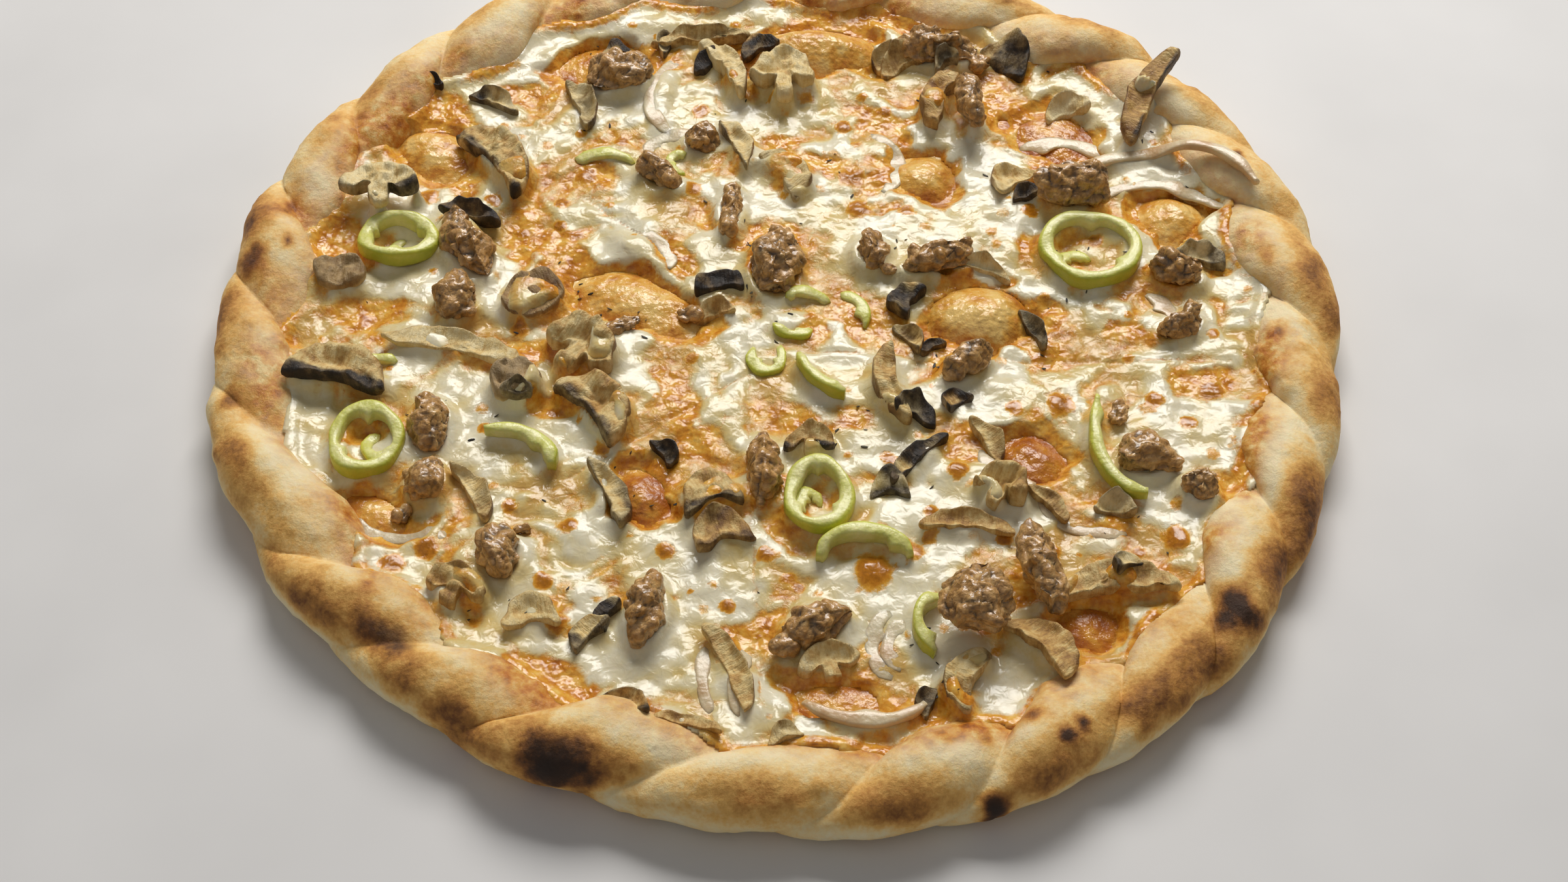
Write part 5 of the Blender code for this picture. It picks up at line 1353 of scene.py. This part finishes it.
def herb_tree():
    """Strews curled flakes over a surface."""
    tree = bpy.data.node_groups.new("strewn_herbs", "GeometryNodeTree")
    sockets = {}
    for name, kind in (("Surface", "Geometry"), ("Flakes per square metre", "Float"), ("Length", "Float"),
                       ("Width", "Float"), ("Thickness", "Float"), ("Curl", "Float"), ("Seed", "Int"),
                       ("Herb", "Material")):
        socket = tree.interface.new_socket(name, in_out="INPUT", socket_type="NodeSocket" + kind)
        sockets[name] = socket.identifier
    tree.interface.new_socket("Flakes", in_out="OUTPUT", socket_type="NodeSocketGeometry")
    given = put(tree, "NodeGroupInput").outputs
    strewn = put(tree, "GeometryNodeDistributePointsOnFaces", {
        "Mesh": given["Surface"], "Density": given["Flakes per square metre"], "Seed": given["Seed"]})
    leaf = put(tree, "GeometryNodeMeshUVSphere", {"Segments": 8, "Rings": 5, "Radius": 0.5})
    size = put(tree, "ShaderNodeCombineXYZ", {0: given["Length"], 1: given["Width"], 2: given["Thickness"]})
    flat = put(tree, "GeometryNodeTransform", {"Geometry": leaf.outputs["Mesh"], "Scale": size.outputs[0]})
    place = put(tree, "ShaderNodeSeparateXYZ", {0: put(tree, "GeometryNodeInputPosition").outputs[0]})
    bend = put(tree, "ShaderNodeMath", {0: place.outputs[0], 1: place.outputs[0]}, operation="MULTIPLY")
    bend = put(tree, "ShaderNodeMath", {0: bend.outputs[0], 1: given["Curl"]}, operation="MULTIPLY")
    lift = put(tree, "ShaderNodeCombineXYZ", {2: bend.outputs[0]})
    curled = put(tree, "GeometryNodeSetPosition", {"Geometry": flat.outputs[0], "Offset": lift.outputs[0]})
    spin = put(tree, "FunctionNodeRandomValue", {0: (-0.5, -0.5, 0.0), 1: (0.5, 0.5, 6.28), "Seed": 3},
               data_type="FLOAT_VECTOR")
    grow = put(tree, "FunctionNodeRandomValue", {2: 0.3, 3: 1.0, "Seed": 5}, data_type="FLOAT")
    laid = put(tree, "GeometryNodeInstanceOnPoints", {
        "Points": strewn.outputs["Points"], "Instance": curled.outputs[0], "Rotation": spin.outputs[0],
        "Scale": grow.outputs[1]})
    real = put(tree, "GeometryNodeRealizeInstances", {0: laid.outputs[0]})
    dressed = put(tree, "GeometryNodeSetMaterial", {0: real.outputs[0], "Material": given["Herb"]})
    put(tree, "NodeGroupOutput", {"Flakes": dressed.outputs[0]})
    return tree, sockets


def make_herbs():
    """Flakes in loose drifts over the cheese, laid a little above its top."""
    tree, sockets = herb_tree()
    surface = bpy.data.meshes.new("herb_surface")
    hollow = ellipse((-58, 108, 26, 14, 20)) < 1.0
    strewn = inside_rim & (near_crust < 0.25) & ((spread(18 * MM, 101) > 0.30) | hollow)
    held = np.nonzero(squares(strewn).ravel())[0]
    columns = grid_x.shape[1]
    quads = [[corner, corner + columns, corner + columns + 1, corner + 1] for corner in held.tolist()]
    above = np.stack((grid_x.ravel(), grid_y.ravel(), ground.ravel() + 0.1 * MM), axis=-1)
    surface.from_pydata(above.tolist(), [], quads)
    holder = bpy.data.objects.new("herb_surface", surface)
    bpy.context.scene.collection.objects.link(holder)
    strew = holder.modifiers.new("strew", "NODES")
    strew.node_group = tree
    for name, value in (("Flakes per square metre", HERBS_PER_SQUARE_METRE), ("Length", HERB_LENGTH),
                        ("Width", HERB_WIDTH), ("Thickness", HERB_THICKNESS), ("Curl", HERB_CURL),
                        ("Seed", 12), ("Herb", dried_herb())):
        strew[sockets[name]] = value
    mesh = bpy.data.meshes.new_from_object(holder.evaluated_get(bpy.context.evaluated_depsgraph_get()))
    bpy.data.objects.remove(holder, do_unlink=True)
    mesh.shade_smooth()
    piece = bpy.data.objects.new("herb_flakes", mesh)
    bpy.context.scene.collection.objects.link(piece)
    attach(piece, "root")


make_herbs()


# The table. A plain painted board under the pizza, sanded smooth and rolled with matt pale paint, so that it
# shows nothing but soft shadows. It is wider than the view.
TABLE_HALF = 3.0


def pale_table():
    """Painted board: matt, nearly white, with a slow change of tone."""
    material, tree, shader = new_material("pale_table")
    place = put(tree, "ShaderNodeTexCoord").outputs["Object"]
    tone = put(tree, "ShaderNodeTexNoise", {"Vector": place, "Scale": per(60), "Detail": 3})
    colour = put(tree, "ShaderNodeValToRGB", {"Fac": tone.outputs["Fac"]}, stops=(
        (0.3, "#DEDCDA"), (0.7, "#E5E3E1")))
    tree.links.new(colour.outputs[0], shader.inputs["Base Color"])
    shader.inputs["Roughness"].default_value = 0.6
    return material


TABLE_CORNERS = [(-TABLE_HALF, -TABLE_HALF, 0), (TABLE_HALF, -TABLE_HALF, 0),
                 (TABLE_HALF, TABLE_HALF, 0), (-TABLE_HALF, TABLE_HALF, 0)]
table = build("table_top", TABLE_CORNERS, [[0, 1, 2, 3]], pale_table())


# The light. A large window beyond the far side, high up, makes the gloss on the cheese and the soft shadows
# towards the camera. The pale room round the table fills them a little.
def area_light(name, place, target, width, depth, power, colour):
    """A flat glowing rectangle, in metres and watts, turned to its target."""
    light = bpy.data.lights.new(name, "AREA")
    light.shape = "RECTANGLE"
    light.size, light.size_y = width, depth
    light.energy = power
    light.color = linear(colour)[:3]
    holder = bpy.data.objects.new(name, light)
    holder.location = place
    holder.rotation_euler = (Vector(target) - Vector(place)).to_track_quat("-Z", "Y").to_euler()
    bpy.context.scene.collection.objects.link(holder)


area_light("window", (0.15, 1.12, 1.08), (0, 0, 0), 1.0, 0.6, 24.0, "#FFFDFA")
area_light("room", (-0.5, -0.6, 1.2), (0, 0, 0), 1.4, 1.4, 1.4, "#FFFFFF")
world = bpy.data.worlds.new("pale_room")
world.use_nodes = True
world.node_tree.nodes["Background"].inputs["Color"].default_value = linear("#F0F0F0")
world.node_tree.nodes["Background"].inputs["Strength"].default_value = 0.18
bpy.context.scene.world = world
bpy.context.scene.view_settings.view_transform = "Standard"


# The camera. It looks down on the pizza from its near side, as in the photograph, through a 50 mm lens. Its
# place and its three directions come from the outline of the round board in the photograph.
CAMERA_PLACE = Vector((1.578, -384.038, 435.742)) * MM
CAMERA_RIGHT = Vector((0.99999, 0.00295, 0.00238))
CAMERA_UP = Vector((-0.00379, 0.77803, 0.62822))
CAMERA_BACK = Vector((0.0, -0.6282, 0.7780))
LENS, SENSOR = 50.0, 36.0
camera_data = bpy.data.cameras.new("photo_camera")
camera_data.lens, camera_data.sensor_width = LENS, SENSOR
camera = bpy.data.objects.new("photo_camera", camera_data)
turn = Matrix((CAMERA_RIGHT, CAMERA_UP, CAMERA_BACK)).transposed()
turn = turn.to_quaternion().normalized().to_matrix().to_4x4()
camera.matrix_world = Matrix.Translation(CAMERA_PLACE) @ turn
bpy.context.scene.collection.objects.link(camera)
bpy.context.scene.camera = camera
